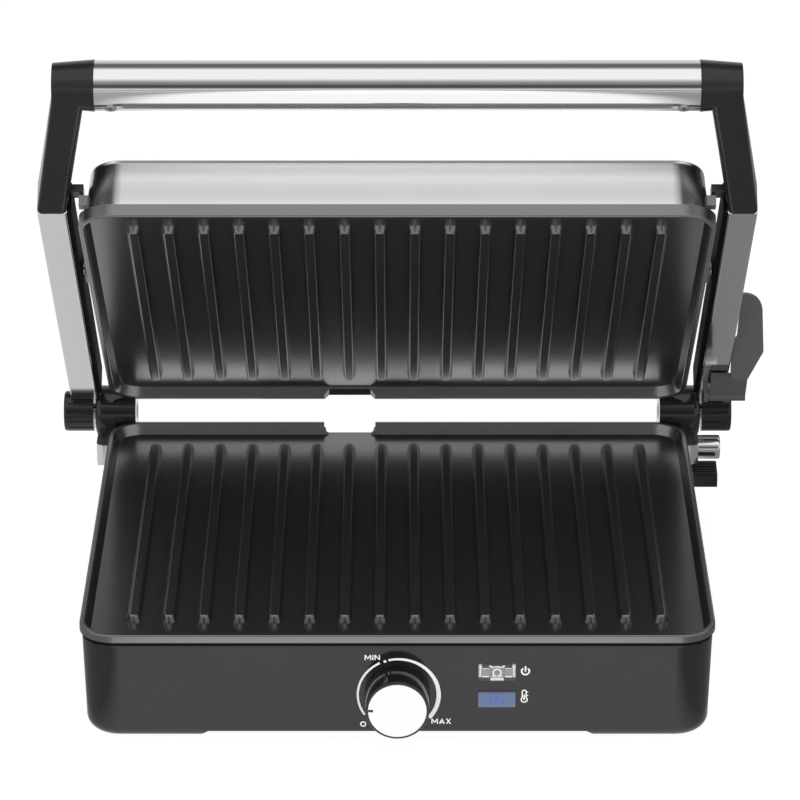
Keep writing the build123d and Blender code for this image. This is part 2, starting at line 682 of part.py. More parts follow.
# Hinge: a tower at each rear corner, with a barrel round the pin
with BuildPart() as hinge_tower:
    with BuildSketch(Plane.YZ.offset(TOWER_IN)):
        with Locations((HINGE_Y, HINGE_Z)):
            Circle(BARREL_R)
    extrude(amount=TOWER_OUT - TOWER_IN)
    fillet(hinge_tower.faces().sort_by(Axis.X)[-1].edges(), BARREL_SOFT)
    with BuildSketch(Plane.YZ.offset(TOWER_IN)):
        with Locations((STEM_FRONT, STEM_BOTTOM)):
            Rectangle(STEM_DEEP, HINGE_Z - STEM_BOTTOM, align=(Align.MIN, Align.MIN))
    extrude(amount=STEM_W)
    with BuildSketch(Plane.YZ.offset(TOWER_IN)):
        with Locations((STEM_FRONT, STEM_BOTTOM)):
            Rectangle(BASE_R, STEM_FOOT_TOP - STEM_BOTTOM, align=(Align.MAX, Align.MIN))
    extrude(amount=BASE_W / 2 - WALL / 2 - TOWER_IN)
    add(housing_block.part, mode=Mode.SUBTRACT)
    with BuildSketch(Plane.YZ.offset(TOWER_IN)):
        with Locations((HINGE_Y, HINGE_Z)):
            Circle(PIN_R + PIN_CLEAR)
    extrude(amount=TOWER_OUT - TOWER_IN, mode=Mode.SUBTRACT)
    with BuildSketch(Plane.XZ.offset(-STEM_FRONT - STEM_DEEP)):
        with Locations(*tower_screw_spots):
            Circle(SCREW_R + PIN_CLEAR)
    extrude(amount=2 * STEM_DEEP, mode=Mode.SUBTRACT)
save_pair(hinge_tower, "hinge_tower")

with BuildPart() as tower_screws:
    with BuildSketch(Plane.XZ.offset(-STEM_FRONT - STEM_DEEP)):
        with Locations(*tower_screw_spots):
            Circle(SCREW_HEAD_R)
    extrude(amount=-SCREW_HEAD_T)
    with BuildSketch(Plane.XZ.offset(-STEM_FRONT - STEM_DEEP)):
        with Locations(*tower_screw_spots):
            Circle(SCREW_R)
    extrude(amount=STEM_FRONT + STEM_DEEP - FRONT_WALL + WALL)
save(tower_screws, "tower_screws")

with BuildPart() as hinge_pin:
    with BuildSketch(Plane.YZ.offset(TOWER_IN + PIN_SET)):
        with Locations((HINGE_Y, HINGE_Z)):
            Circle(PIN_R)
    extrude(amount=DRUM_OUT - DRUM_CAP - RUN_CLEAR - TOWER_IN - PIN_SET)
save_pair(hinge_pin, "hinge_pin")

# Cheeks beside the housing; the right one guides the button and the latch
tongue_z = LATCH_BOTTOM + TONGUE_H
latch_rear = LATCH_FRONT + LATCH_LONG
tongue_rear = latch_rear - (LATCH_LONG - TONGUE_LONG) / 2
for side, name in ((1, "right"), (-1, "left")):
    with BuildPart() as hinge_cheek:
        for inner, outer, top in ((BASE_W / 2, CHEEK_OUT, CHEEK_TOP), (CHEEK_IN, BASE_W / 2, HOUSING_TOP)):
            with BuildSketch(Plane.YZ.offset(side * inner)):
                with BuildLine():
                    Polyline(
                        (STEM_FRONT, CHEEK_BOTTOM),
                        (CHEEK_STEP, CHEEK_BOTTOM),
                        (CHEEK_STEP, NOSE_BOTTOM),
                        (CHEEK_FRONT, NOSE_BOTTOM),
                        (CHEEK_FRONT, top),
                        (STEM_FRONT, top),
                        close=True,
                    )
                make_face()
            extrude(amount=side * (outer - inner))
        nose_edges = hinge_cheek.edges().filter_by(Axis.Z).group_by(Axis.Y)[0].sort_by(Axis.X)
        fillet(nose_edges[-1 if side > 0 else 0], CHEEK_ROUND)
        if side > 0:
            with BuildSketch(Plane.YZ.offset(CHEEK_IN)):
                with Locations((RAIL_FRONT, LATCH_BOTTOM)):
                    Rectangle(
                        CHEEK_STEP - RAIL_FRONT, NOSE_BOTTOM - LATCH_BOTTOM, align=(Align.MIN, Align.MIN)
                    )
            extrude(amount=RAIL_OUT - CHEEK_IN)
            with BuildSketch(Plane.YZ.offset(BUTTON_IN - BUTTON_TRAVEL - RUN_CLEAR)):
                with Locations((BUTTON_Y, BUTTON_Z)):
                    Circle(BUTTON_R + PIN_CLEAR)
            extrude(amount=BUTTON_TRAVEL + WALL, mode=Mode.SUBTRACT)
            with BuildSketch(Plane.YZ.offset(TONGUE_IN - RUN_CLEAR)):
                with Locations((tongue_rear + RUN_CLEAR, tongue_z)):
                    Rectangle(
                        TONGUE_LONG + LATCH_TRAVEL + 2 * RUN_CLEAR,
                        TONGUE_H + 2 * RUN_CLEAR,
                        align=(Align.MAX, Align.CENTER),
                    )
            extrude(amount=WALL, mode=Mode.SUBTRACT)
        add(housing_block.part, mode=Mode.SUBTRACT)
    save(hinge_cheek, f"hinge_cheek_{name}")

with BuildPart() as release_button:
    with BuildSketch(Plane.YZ.offset(BUTTON_IN)):
        with Locations((BUTTON_Y, BUTTON_Z)):
            Circle(BUTTON_R)
    extrude(amount=BUTTON_OUT - BUTTON_IN)
    fillet(release_button.faces().sort_by(Axis.X)[-1].edges(), BUTTON_SOFT)
save(release_button, "release_button")

latch_slope = atan2(LATCH_BACK - LATCH_NOSE, LATCH_LONG)
with BuildPart() as plate_latch:
    with BuildSketch(Plane.YZ.offset(LATCH_IN)):
        with BuildLine():
            Polyline(
                (LATCH_FRONT, LATCH_BOTTOM),
                (latch_rear, LATCH_BOTTOM),
                (latch_rear, LATCH_BOTTOM + LATCH_BACK),
                (LATCH_FRONT, LATCH_BOTTOM + LATCH_NOSE),
                close=True,
            )
        make_face()
        rib_step = LATCH_LONG / (LATCH_RIBS + 1)
        rib_spots = [
            (LATCH_FRONT + k * rib_step, LATCH_BOTTOM + LATCH_NOSE + k * rib_step * tan(latch_slope))
            for k in range(1, LATCH_RIBS + 1)
        ]
        with Locations(*rib_spots):
            Circle(LATCH_RIB_R)
    extrude(amount=LATCH_OUT - LATCH_IN)
    with BuildSketch(Plane.YZ.offset(TONGUE_IN)):
        with Locations((tongue_rear, tongue_z)):
            Rectangle(TONGUE_LONG, TONGUE_H, align=(Align.MAX, Align.CENTER))
    extrude(amount=TONGUE_SET)
save(plate_latch, "plate_latch")

# Arms: flat bars that rise a little from the drums to the elbows
with BuildPart() as arm:
    with BuildSketch(arm_side(ARM_IN)):
        with BuildLine():
            Polyline(
                (-ARM_FRONT, ARM_UNDER),
                (-DRUM_R, arm_under(DRUM_R)),
                (0, arm_under(0)),
                (0, arm_under(0) + ARM_H),
                (-ARM_FRONT, ARM_UNDER + ARM_H),
                close=True,
            )
        make_face()
    extrude(amount=ARM_T)
    fillet(arm.edges().filter_by(lambda e: e.length > ARM_FRONT - ARM_H), ARM_SOFT)
    with BuildSketch(arm_side(ARM_IN)):
        Circle(DRUM_R + PIN_CLEAR)
    extrude(amount=ARM_T, mode=Mode.SUBTRACT)
    with BuildSketch(arm_side(ARM_IN)):
        Circle(BARREL_R + RUN_CLEAR)
    extrude(amount=TOWER_OUT + RUN_CLEAR - ARM_IN, mode=Mode.SUBTRACT)
    with BuildSketch(arm_side(ARM_IN)):
        with Locations((-PIVOT_FORWARD, PIVOT_UP)):
            Circle(PIVOT_R + PIN_CLEAR)
    extrude(amount=PIVOT_IN_ARM + PIN_CLEAR, mode=Mode.SUBTRACT)
save_pair(arm, "arm")

with BuildPart() as arm_liner:
    with BuildSketch(arm_side(ARM_IN)):
        with BuildLine():
            Polyline(
                (-ARM_FRONT, ARM_UNDER + LINER_INSET),
                (-LINER_REAR, arm_under(LINER_REAR) + LINER_INSET),
                (-LINER_REAR, arm_under(LINER_REAR) + ARM_H - LINER_INSET),
                (-ARM_FRONT, ARM_UNDER + ARM_H - LINER_INSET),
                close=True,
            )
        make_face()
        with Locations((-PIVOT_FORWARD, PIVOT_UP)):
            Circle(PIVOT_R + PIN_CLEAR, mode=Mode.SUBTRACT)
    extrude(amount=-LINER_T)
save_pair(arm_liner, "arm_liner")

with BuildPart() as hinge_drum:
    with BuildSketch(arm_side(DRUM_IN)):
        Circle(DRUM_R)
    extrude(amount=DRUM_OUT - DRUM_IN)
    fillet(hinge_drum.faces().sort_by(Axis.X)[-1].edges(), DRUM_SOFT)
    with BuildSketch(arm_side(DRUM_IN)):
        with PolarLocations(DRUM_R, GROOVES):
            Circle(GROOVE_R)
    extrude(amount=DRUM_OUT - DRUM_IN - 2 * DRUM_SOFT, mode=Mode.SUBTRACT)
    with BuildSketch(arm_side(DRUM_IN)):
        Circle(PIN_R + PIN_CLEAR)
    extrude(amount=DRUM_OUT - DRUM_IN - DRUM_CAP, mode=Mode.SUBTRACT)
save_pair(hinge_drum, "hinge_drum")

# Elbows: from the arm's end up to a round cap, with a peg that plugs the end of the bar
rise = (BAR_UP - ARM_UNDER - ARM_H / 2, ARM_FRONT - BAR_FORWARD)
rise_angle = atan2(rise[0], -rise[1])
rise_dir = HINGE.z_dir * sin(rise_angle) - HINGE.y_dir * cos(rise_angle)
elbow_foot = Plane(
    origin=HINGE.from_local_coords((ARM_IN + ARM_T / 2, -ARM_FRONT - PIN_CLEAR, ARM_UNDER + ARM_H / 2)),
    x_dir=(1, 0, 0),
    z_dir=-HINGE.y_dir,
)
elbow_head = Plane(
    origin=HINGE.from_local_coords((CAP_OUT - ELBOW_W / 2, -BAR_FORWARD, BAR_UP)),
    x_dir=(1, 0, 0),
    z_dir=rise_dir,
)
with BuildPart() as elbow:
    with BuildSketch(elbow_foot):
        RectangleRounded(ARM_T, ARM_H, ELBOW_ROUND)
    with BuildSketch(elbow_head):
        RectangleRounded(ELBOW_W, ELBOW_DEEP, ELBOW_ROUND)
    loft()
    with BuildSketch(arm_side(CAP_IN)):
        with Locations((-BAR_FORWARD, BAR_UP)):
            Circle(CAP_R)
    extrude(amount=CAP_OUT - CAP_IN, taper=CAP_TAPER)
    with BuildSketch(arm_side(CAP_IN)):
        with Locations((-BAR_FORWARD, BAR_UP)):
            Circle(PEG_R)
    extrude(amount=-PEG_LONG)
    with BuildSketch(HINGE.offset(HANDLE_SEAT)):
        with Locations((HANDLE_SCREW_X, -BAR_FORWARD)):
            Circle(SCREW_R + PIN_CLEAR)
    extrude(amount=2 * BAR_WALL + PIN_CLEAR, mode=Mode.SUBTRACT)
    with BuildSketch(arm_side(ARM_IN - STOP_IN_ELBOW)):
        with Locations((-STOP_FORWARD, STOP_UP)):
            Rectangle(STOP_LONG + 2 * PIN_CLEAR, STOP_H + 2 * PIN_CLEAR)
    extrude(amount=2 * STOP_IN_ELBOW + PIN_CLEAR, mode=Mode.SUBTRACT)
save_pair(elbow, "elbow")

bar_half = CAP_IN - PIN_CLEAR
handle_screw_spots = [(s * HANDLE_SCREW_X, -BAR_FORWARD) for s in (-1, 1)]
with BuildPart() as handle_bar:
    with BuildSketch(arm_side(-bar_half)):
        with Locations((-BAR_FORWARD, BAR_UP)):
            Circle(BAR_R)
            Circle(BAR_R - BAR_WALL, mode=Mode.SUBTRACT)
    extrude(amount=2 * bar_half)
    with BuildSketch(HINGE.offset(BAR_UP)):
        with Locations(*handle_screw_spots):
            Circle(SCREW_R + PIN_CLEAR)
    extrude(amount=-BAR_R, mode=Mode.SUBTRACT)
    with BuildSketch(HINGE.offset(HANDLE_SEAT)):
        with Locations(*handle_screw_spots):
            Circle(SCREW_HEAD_R + PIN_CLEAR)
    extrude(amount=-BAR_R, mode=Mode.SUBTRACT)
save(handle_bar, "handle_bar")

with BuildPart() as handle_screws:
    with BuildSketch(HINGE.offset(HANDLE_SEAT)):
        with Locations(*handle_screw_spots):
            Circle(SCREW_HEAD_R)
    extrude(amount=-SCREW_HEAD_T)
    with BuildSketch(HINGE.offset(HANDLE_SEAT)):
        with Locations(*handle_screw_spots):
            Circle(SCREW_R)
    extrude(amount=2 * BAR_WALL)
save(handle_screws, "handle_screws")

# The lid hangs between the arms on two pins; stops on the elbows hold its front edge
lid_floor = HINGE.offset(LID_BASE)
lid_up = Axis(HINGE.origin, HINGE.z_dir)
with BuildPart() as lid_block:
    with BuildSketch(lid_floor):
        with Locations((0, -HINGE_Y)):
            RectangleRounded(LID_W, LID_D, LID_R)
    extrude(amount=LID_H, taper=LID_DRAFT)
    fillet(lid_block.faces().sort_by(lid_up)[-1].edges(), LID_SOFT)

pivot_pin_in = LID_W / 2 + RUN_CLEAR
with BuildPart() as lid_pivot_pins:
    for side in (-1, 1):
        with BuildSketch(arm_side(side * pivot_pin_in)):
            with Locations((-PIVOT_FORWARD, PIVOT_UP)):
                Circle(PIVOT_R)
        extrude(amount=side * (ARM_IN + PIVOT_IN_ARM - pivot_pin_in))
save(lid_pivot_pins, "lid_pivot_pins")

with BuildPart() as pivot_bracket:
    with BuildSketch(arm_side(LID_W / 2 - LID_H / 2)):
        with Locations((-PIVOT_FORWARD, PIVOT_UP)):
            RectangleRounded(BRACKET_SIDE, BRACKET_SIDE, PIVOT_R / 2)
            Circle(PIVOT_R + PIN_CLEAR, mode=Mode.SUBTRACT)
    extrude(amount=LID_H / 2 + BRACKET_T)
    add(lid_block.part, mode=Mode.SUBTRACT)
save_pair(pivot_bracket, "pivot_bracket")

stop_in = LID_W / 2 + STOP_GAP
with BuildPart() as stop_pins:
    for side in (-1, 1):
        with BuildSketch(arm_side(side * stop_in)):
            with Locations((-STOP_FORWARD, STOP_UP)):
                Rectangle(STOP_LONG, STOP_H)
        extrude(amount=side * (ARM_IN + STOP_IN_ELBOW - stop_in))
save(stop_pins, "stop_pins")

with BuildPart() as stop_lug:
    with BuildSketch(arm_side(LID_W / 2 - LID_H / 2)):
        with Locations((-STOP_FORWARD, STOP_UP - STOP_H / 2 - STOP_PLAY)):
            Rectangle(LUG_LONG, LUG_H, align=(Align.CENTER, Align.MAX))
    extrude(amount=LID_H / 2 + LUG_T)
    add(lid_block.part, mode=Mode.SUBTRACT)
save_pair(stop_lug, "stop_lug")

with BuildPart() as lid_hollow:
    with BuildSketch(lid_floor):
        with Locations((0, -HINGE_Y)):
            RectangleRounded(LID_W - 2 * LID_WALL, LID_D - 2 * LID_WALL, LID_R - LID_WALL)
    extrude(amount=LID_H - LID_WALL, taper=LID_DRAFT)
    fillet(lid_hollow.faces().sort_by(lid_up)[-1].edges(), LID_SOFT - LID_WALL)

post_x = PAN_W / 2 - LEDGE_W / 2
flange_back = UPPER_RIM + PAN_DEPTH + REFLECTOR_T
with BuildPart() as lid_posts:
    with BuildSketch(HINGE.offset(flange_back)):
        with Locations((0, -HINGE_Y)):
            with GridLocations(2 * post_x, PAN_D / 2, 2, 2):
                Circle(POST_R)
    extrude(amount=LID_BASE + LID_H - LID_WALL - flange_back)
    add(lid_block.part, mode=Mode.INTERSECT)

with BuildPart() as lid_shell:
    add(lid_block.part)
    add(lid_hollow.part, mode=Mode.SUBTRACT)
    add(lid_posts.part)
save(lid_shell, "lid_shell")

# Release lever: its foot crosses under the right arm and its thumb piece stands outside it
axle_at = (-AXLE_FORWARD, -AXLE_DROP)
foot_dir = HINGE.z_dir * sin(radians(FOOT_TILT)) - HINGE.y_dir * cos(radians(FOOT_TILT))
thumb_dir = HINGE.z_dir * sin(radians(THUMB_TILT)) - HINGE.y_dir * cos(radians(THUMB_TILT))
foot_plane = Plane(
    origin=HINGE.from_local_coords((0, *axle_at)), x_dir=(1, 0, 0), z_dir=Vector(1, 0, 0).cross(foot_dir)
)
thumb_plane = Plane(
    origin=foot_plane.origin + foot_dir * LEVER_FOOT, x_dir=(1, 0, 0), z_dir=Vector(1, 0, 0).cross(thumb_dir)
)
thumb_in = ARM_OUT + THUMB_GAP
with BuildPart() as release_lever:
    with BuildSketch(foot_plane.offset(-LEVER_T / 2)):
        with Locations((LEVER_IN, 0)):
            Rectangle(LEVER_FOOT_OUT - LEVER_IN, LEVER_FOOT, align=(Align.MIN, Align.MIN))
    extrude(amount=LEVER_T)
    with BuildSketch(arm_side(LEVER_IN)):
        with Locations(axle_at):
            Circle(KNUCKLE_R)
    extrude(amount=LEVER_FOOT_OUT - LEVER_IN)
    with BuildSketch(thumb_plane.offset(-LEVER_T / 2)):
        with BuildLine():
            Polyline(
                (thumb_in, -LEVER_T / 2),
                (thumb_in, THUMB_WAIST),
                (THUMB_TIP_IN, THUMB_WAIST + LEVER_T),
                (THUMB_TIP_IN + LEVER_T / 2, THUMB_LONG),
                (LEVER_OUT - LEVER_T / 2, THUMB_LONG),
                (LEVER_OUT, THUMB_BULGE),
                (LEVER_FOOT_OUT, -LEVER_T / 2),
                close=True,
            )
        make_face()
        fillet(vertices().group_by(Axis.Y)[-1].sort_by(Axis.X)[-1], THUMB_ROUND)
    extrude(amount=LEVER_T)
    with BuildSketch(arm_side(LEVER_IN)):
        with Locations(axle_at):
            Circle(AXLE_R + PIN_CLEAR)
    extrude(amount=LEVER_FOOT_OUT - LEVER_IN, mode=Mode.SUBTRACT)
save(release_lever, "release_lever")

ear_out = LEVER_IN - RUN_CLEAR
ear_in = ear_out - EAR_T
with BuildPart() as lever_axle:
    with BuildSketch(arm_side(ear_in)):
        with Locations(axle_at):
            Circle(AXLE_R)
    extrude(amount=LEVER_FOOT_OUT - ear_in)
save(lever_axle, "lever_axle")

with BuildPart() as lever_bracket:
    with BuildSketch(arm_side(ear_in)):
        with BuildLine():
            Polyline(
                (-AXLE_FORWARD - EAR_HALF, -EAR_BOTTOM),
                (-AXLE_FORWARD + EAR_HALF, -EAR_BOTTOM),
                (-AXLE_FORWARD + EAR_HALF, arm_under(AXLE_FORWARD - EAR_HALF) - PIN_CLEAR),
                (-AXLE_FORWARD - EAR_HALF, arm_under(AXLE_FORWARD + EAR_HALF) - PIN_CLEAR),
                close=True,
            )
        make_face()
        with Locations(axle_at):
            Circle(AXLE_R + PIN_CLEAR, mode=Mode.SUBTRACT)
    extrude(amount=EAR_T)
save(lever_bracket, "lever_bracket")
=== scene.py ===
import json
from math import cos, pi, radians, sin, tan

import bpy
import numpy as np
from bpy.props import FloatProperty, FloatVectorProperty, PointerProperty
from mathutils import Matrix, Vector


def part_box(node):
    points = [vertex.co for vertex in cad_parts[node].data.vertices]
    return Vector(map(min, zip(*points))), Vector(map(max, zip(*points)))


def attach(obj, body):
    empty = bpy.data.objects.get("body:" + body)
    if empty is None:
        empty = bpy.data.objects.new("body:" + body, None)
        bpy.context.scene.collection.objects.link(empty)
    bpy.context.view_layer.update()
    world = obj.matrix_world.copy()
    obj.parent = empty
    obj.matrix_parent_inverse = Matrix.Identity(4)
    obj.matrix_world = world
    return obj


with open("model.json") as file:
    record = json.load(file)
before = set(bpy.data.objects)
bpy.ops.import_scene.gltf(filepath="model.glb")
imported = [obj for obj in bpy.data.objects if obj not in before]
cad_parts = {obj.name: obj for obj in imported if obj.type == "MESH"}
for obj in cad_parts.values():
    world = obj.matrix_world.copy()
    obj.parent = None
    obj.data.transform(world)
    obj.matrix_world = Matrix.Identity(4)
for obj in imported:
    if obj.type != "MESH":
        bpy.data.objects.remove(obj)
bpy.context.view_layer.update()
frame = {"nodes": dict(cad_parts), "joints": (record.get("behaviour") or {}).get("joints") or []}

bl_info = {
    "name": "Panini press",
    "version": (1, 0, 0),
    "blender": (4, 5, 0),
    "location": "View3D > Sidebar > Press",
    "description": "Finishes, printed marks and a small studio for a panini press",
    "category": "Object",
}

MM = 0.001
JOINTS = {joint["name"]: joint for joint in frame["joints"]}
NODES = frame["nodes"]

# The arms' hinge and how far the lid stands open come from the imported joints
HINGE = Vector(JOINTS["arm_hinge"]["pos_m"])
OPEN = -radians(JOINTS["arm_hinge"]["range_deg"][0])
LID_BACK = Vector((0, cos(OPEN), -sin(OPEN)))
LID_UP = Vector((0, sin(OPEN), cos(OPEN)))
DIAL = Vector(JOINTS["dial_turn"]["pos_m"])

# Places that the printed marks and patterns need, read from the solids
PANEL_TOP = Vector((0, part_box("housing")[0].y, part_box("housing")[1].z))
LOWER_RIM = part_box("lower_plate")[1].z
PLATE_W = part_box("lower_plate")[1].x * 2
PLATE_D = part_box("lower_plate")[1].y * 2

# The two plates' rims lie this far apart with the lid shut
PLATE_GAP = 1.0 * MM
UPPER_MID = HINGE - LID_BACK * HINGE.y + LID_UP * (LOWER_RIM + PLATE_GAP - HINGE.z)

# The lid's painted shade band, a darker band of steel low on its skirt: its height over the hinge with the
# lid shut, and half its width
SHADE_BAND_UP = 14.5 * MM
SHADE_BAND_HALF = 8.0 * MM

# Raised lines: how deep they are set into what carries them, the least width of a round tip as a share of
# the line's width, and the points along a long arc
SINK = 0.2 * MM
TIP_LEAST = 0.04
ARC_POINTS = 96

# The dial's scale: a ring in two arcs, in degrees anticlockwise from the right. Its middle lies a little to
# the right of the dial's axis. It is even from the off mark to its top, then grows by this share.
RING_SHIFT = 0.4 * MM
RING_ARCS = ((214, 117), (104, -40))
RING_TOP = 100
RING_WIDTH = 1.0 * MM
RING_GROWTH = 0.95

# Marks round the scale, measured to the right of and above the dial's axis
START_TICK = ((-6.25 * MM, 16.9 * MM), (-4.95 * MM, 17.4 * MM))
OFF_MARK = (-15.5 * MM, -15.1 * MM)
OFF_RADIUS = 1.12 * MM
WORDS = {"MIN": (-11.3 * MM, 19.2 * MM), "MAX": (19.9 * MM, -13.6 * MM)}

# The power sign, in x and z: a ring open at its top, and a bar that stands in the opening
POWER_SIGN = (57.8 * MM, 35.75 * MM)
POWER_RADIUS = 1.72 * MM
POWER_ARC = (125, 415)
POWER_BAR = (-0.4 * MM, 2.7 * MM)

# The heat sign, in x and z: a thermometer's bulb and stem, the column inside it and two ticks beside it
HEAT_SIGN = (57.4 * MM, 21.2 * MM)
HEAT_BULB = 1.34 * MM
HEAT_ARC = (131, 409)
HEAT_STEM = 0.88 * MM
HEAT_TOP = 3.95 * MM
HEAT_COLUMN = (-0.3 * MM, 2.6 * MM)
HEAT_TICKS = (2.1 * MM, 3.9 * MM)
HEAT_TICK_ENDS = (1.1 * MM, 1.75 * MM)

# The dial's face: turned rings to the metre, and the pointer mark's two ends, measured in from the edge
TURNED_RINGS = 9000.0
POINTER_ENDS = (0.1 * MM, 2.3 * MM)
POINTER_WIDTH = 1.2 * MM

# Raised prisms of the lenses, in millimetres from a lens's middle: start, end, width, round tips.
# The wings' bars stand on both sides of the clear lens.
CLEAR_BARS = (
    ((-3.0, -3.2), (3.0, -3.2), 0.7, False),
    ((-1.6, -2.0), (1.6, -2.0), 0.6, True),
)
CLEAR_WINGS = (
    ((3.6, 3.5), (1.9, 2.6), 0.72, True),
    ((1.3, -1.3), (2.2, -2.0), 0.7, True),
    ((3.6, -2.0), (6.7, -2.0), 0.62, False),
    ((3.6, 2.15), (6.7, 2.15), 0.3, False),
    ((7.45, 2.3), (7.45, 3.6), 1.05, True),
    ((7.6, -2.2), (7.6, 2.3), 0.5, False),
)
TINTED_BARS = (((-7.6, -2.95), (7.6, -2.95), 0.25, False),)

# Screw heads: their radius, how far the handle's stand out of the bar, and the cross on each, a thin dark
# cross of painted shade that stands in for the cross recess. The cross's second bar stands this many times
# as high as its first, so that no two faces lie in one plane.
HEAD_R = 2.8 * MM
HEAD_PROUD = 0.2 * MM
CROSS_HALF = 1.5 * MM
CROSS_WIDTH = 0.55 * MM
CROSS_RISE = 0.02 * MM
CROSS_STEP = 1.2

# The floor: the share of it that glows when it is seen, and how strongly
FLOOR_SHARE = 0.78
FLOOR_GLOW = 1.2

# Cards that reflections see on the floor: where they fade in on either side, and how dark they are
CARD_EDGE = (130 * MM, 160 * MM)
CARD_LEFT_BACK = 0.35
CARD_LEFT_FRONT = 0.75
CARD_RIGHT = 0.82

# Bands that reflections see over the press: a share of the half turn from the front, over the top, to the
# back, then the brightness there
BANDS = (
    (0.0, 0.75),
    (0.06, 0.05),
    (0.1, 0.08),
    (0.21, 0.4),
    (0.28, 1.0),
    (0.53, 1.0),
    (0.6, 0.2),
    (0.71, 0.1),
    (0.81, 0.55),
    (1.0, 0.85),
)

# Beside the bands, in parts of a unit direction: where the pale sides fade in and how bright they are, then
# the dark card on each side: where it fades in, its brightness, its front edge and how far that leans
SIDE_EDGE = (0.16, 0.3)
SIDE_LIGHT = 0.8
SIDE_CARD_EDGE = (0.3, 0.42)
SIDE_CARD_LIGHT = 0.01
SIDE_CARD_FRONT = 0.75
SIDE_CARD_LEAN = 0.9
SIDE_CARD_SOFT = (-0.05, 0.03)

# The side cards end where a direction is both this far to the back and this high
HIGH_BACK_Y = (0.1, 0.25)
HIGH_BACK_Z = (0.5, 0.65)

# What lights the press evenly from all round
AMBIENT = 0.35

# Soft lamps: a name, a place, the point they face, width, height and watts
LAMPS = (
    ("lamp_front", (0.0, -2.4, 0.4), (0, 0, 0.15), 2.2, 0.6, 34.0),
    ("lamp_above", (0.0, -0.35, 1.7), (0, 0, 0.1), 1.6, 1.2, 4.0),
    ("lamp_left", (-1.6, -1.0, 1.0), (0, 0, 0.15), 1.0, 1.2, 3.0),
    ("lamp_right", (1.6, -1.0, 1.0), (0, 0, 0.15), 1.0, 1.2, 3.0),
)

# The camera: its place, how far it looks down in degrees, and its lens and sensor in millimetres
CAMERA_AT = (0.0012, -1.7873, 0.8913)
CAMERA_DOWN = 23.41
CAMERA_LENS = 186.6
CAMERA_SENSOR = 36.0

# Printed letters in units of their height: a width, then each stroke's two ends. Each stroke of a word
# stands higher than the one before it by this share of the print's thickness.
STROKE = 0.19
STROKE_STEP = 0.03
LETTER_GAP = 0.19
LETTERS = {
    "M": (
        1.15,
        [
            ((0.1, 0), (0.1, 1)),
            ((1.05, 0), (1.05, 1)),
            ((0.14, 0.94), (0.6, 0.24)),
            ((1.01, 0.94), (0.55, 0.24)),
        ],
    ),
    "I": (0.19, [((0.1, 0), (0.1, 1))]),
    "N": (0.95, [((0.1, 0), (0.1, 1)), ((0.85, 0), (0.85, 1)), ((0.13, 0.94), (0.82, 0.06))]),
    "A": (1.0, [((0.08, 0), (0.52, 0.96)), ((0.92, 0), (0.48, 0.96)), ((0.26, 0.26), (0.74, 0.26))]),
    "X": (0.9, [((0.1, 0), (0.8, 1)), ((0.8, 0), (0.1, 1))]),
}


class PressSizes(bpy.types.PropertyGroup):
    """Sizes that someone dressing the press may want to change."""

    panel_draft: FloatProperty(
        name="Panel draft", description="Lean of the housing's walls", default=radians(1.5), subtype="ANGLE"
    )
    ring_radius: FloatProperty(
        name="Ring radius", description="Printed ring round the dial", default=18.3 * MM, unit="LENGTH"
    )
    letter_height: FloatProperty(
        name="Letter height", description="Height of the printed words", default=2.6 * MM, unit="LENGTH"
    )
    print_rise: FloatProperty(
        name="Print thickness", description="How far the print stands off", default=0.05 * MM, unit="LENGTH"
    )
    plate_corner: FloatProperty(
        name="Plate corner", description="Corner radius of the grill plates", default=16 * MM, unit="LENGTH"
    )
    floor_size: FloatProperty(
        name="Floor size", description="Side of the studio floor", default=14.0, unit="LENGTH"
    )


class PressColours(bpy.types.PropertyGroup):
    """Colours of the main finishes."""

    housing: FloatVectorProperty(
        name="Housing", description="Moulded base", default=(0.012, 0.012, 0.0122), subtype="COLOR"
    )
    non_stick: FloatVectorProperty(
        name="Plates", description="Non-stick coat", default=(0.022, 0.022, 0.0222), subtype="COLOR"
    )
    rim: FloatVectorProperty(
        name="Rims", description="Satin edge of the plates", default=(0.26, 0.26, 0.262), subtype="COLOR"
    )
    steel: FloatVectorProperty(
        name="Lid", description="Brushed lid shell", default=(0.84, 0.84, 0.845), subtype="COLOR"
    )
    satin: FloatVectorProperty(
        name="Arms", description="Satin metal arms", default=(0.74, 0.74, 0.745), subtype="COLOR"
    )
    chrome: FloatVectorProperty(
        name="Handle", description="Polished handle bar", default=(0.87, 0.87, 0.88), subtype="COLOR"
    )
    lever: FloatVectorProperty(
        name="Lever", description="Moulded release lever", default=(0.08, 0.08, 0.082), subtype="COLOR"
    )
    blue: FloatVectorProperty(
        name="Heat lens", description="Tinted indicator lens", default=(0.1, 0.15, 0.28), subtype="COLOR"
    )


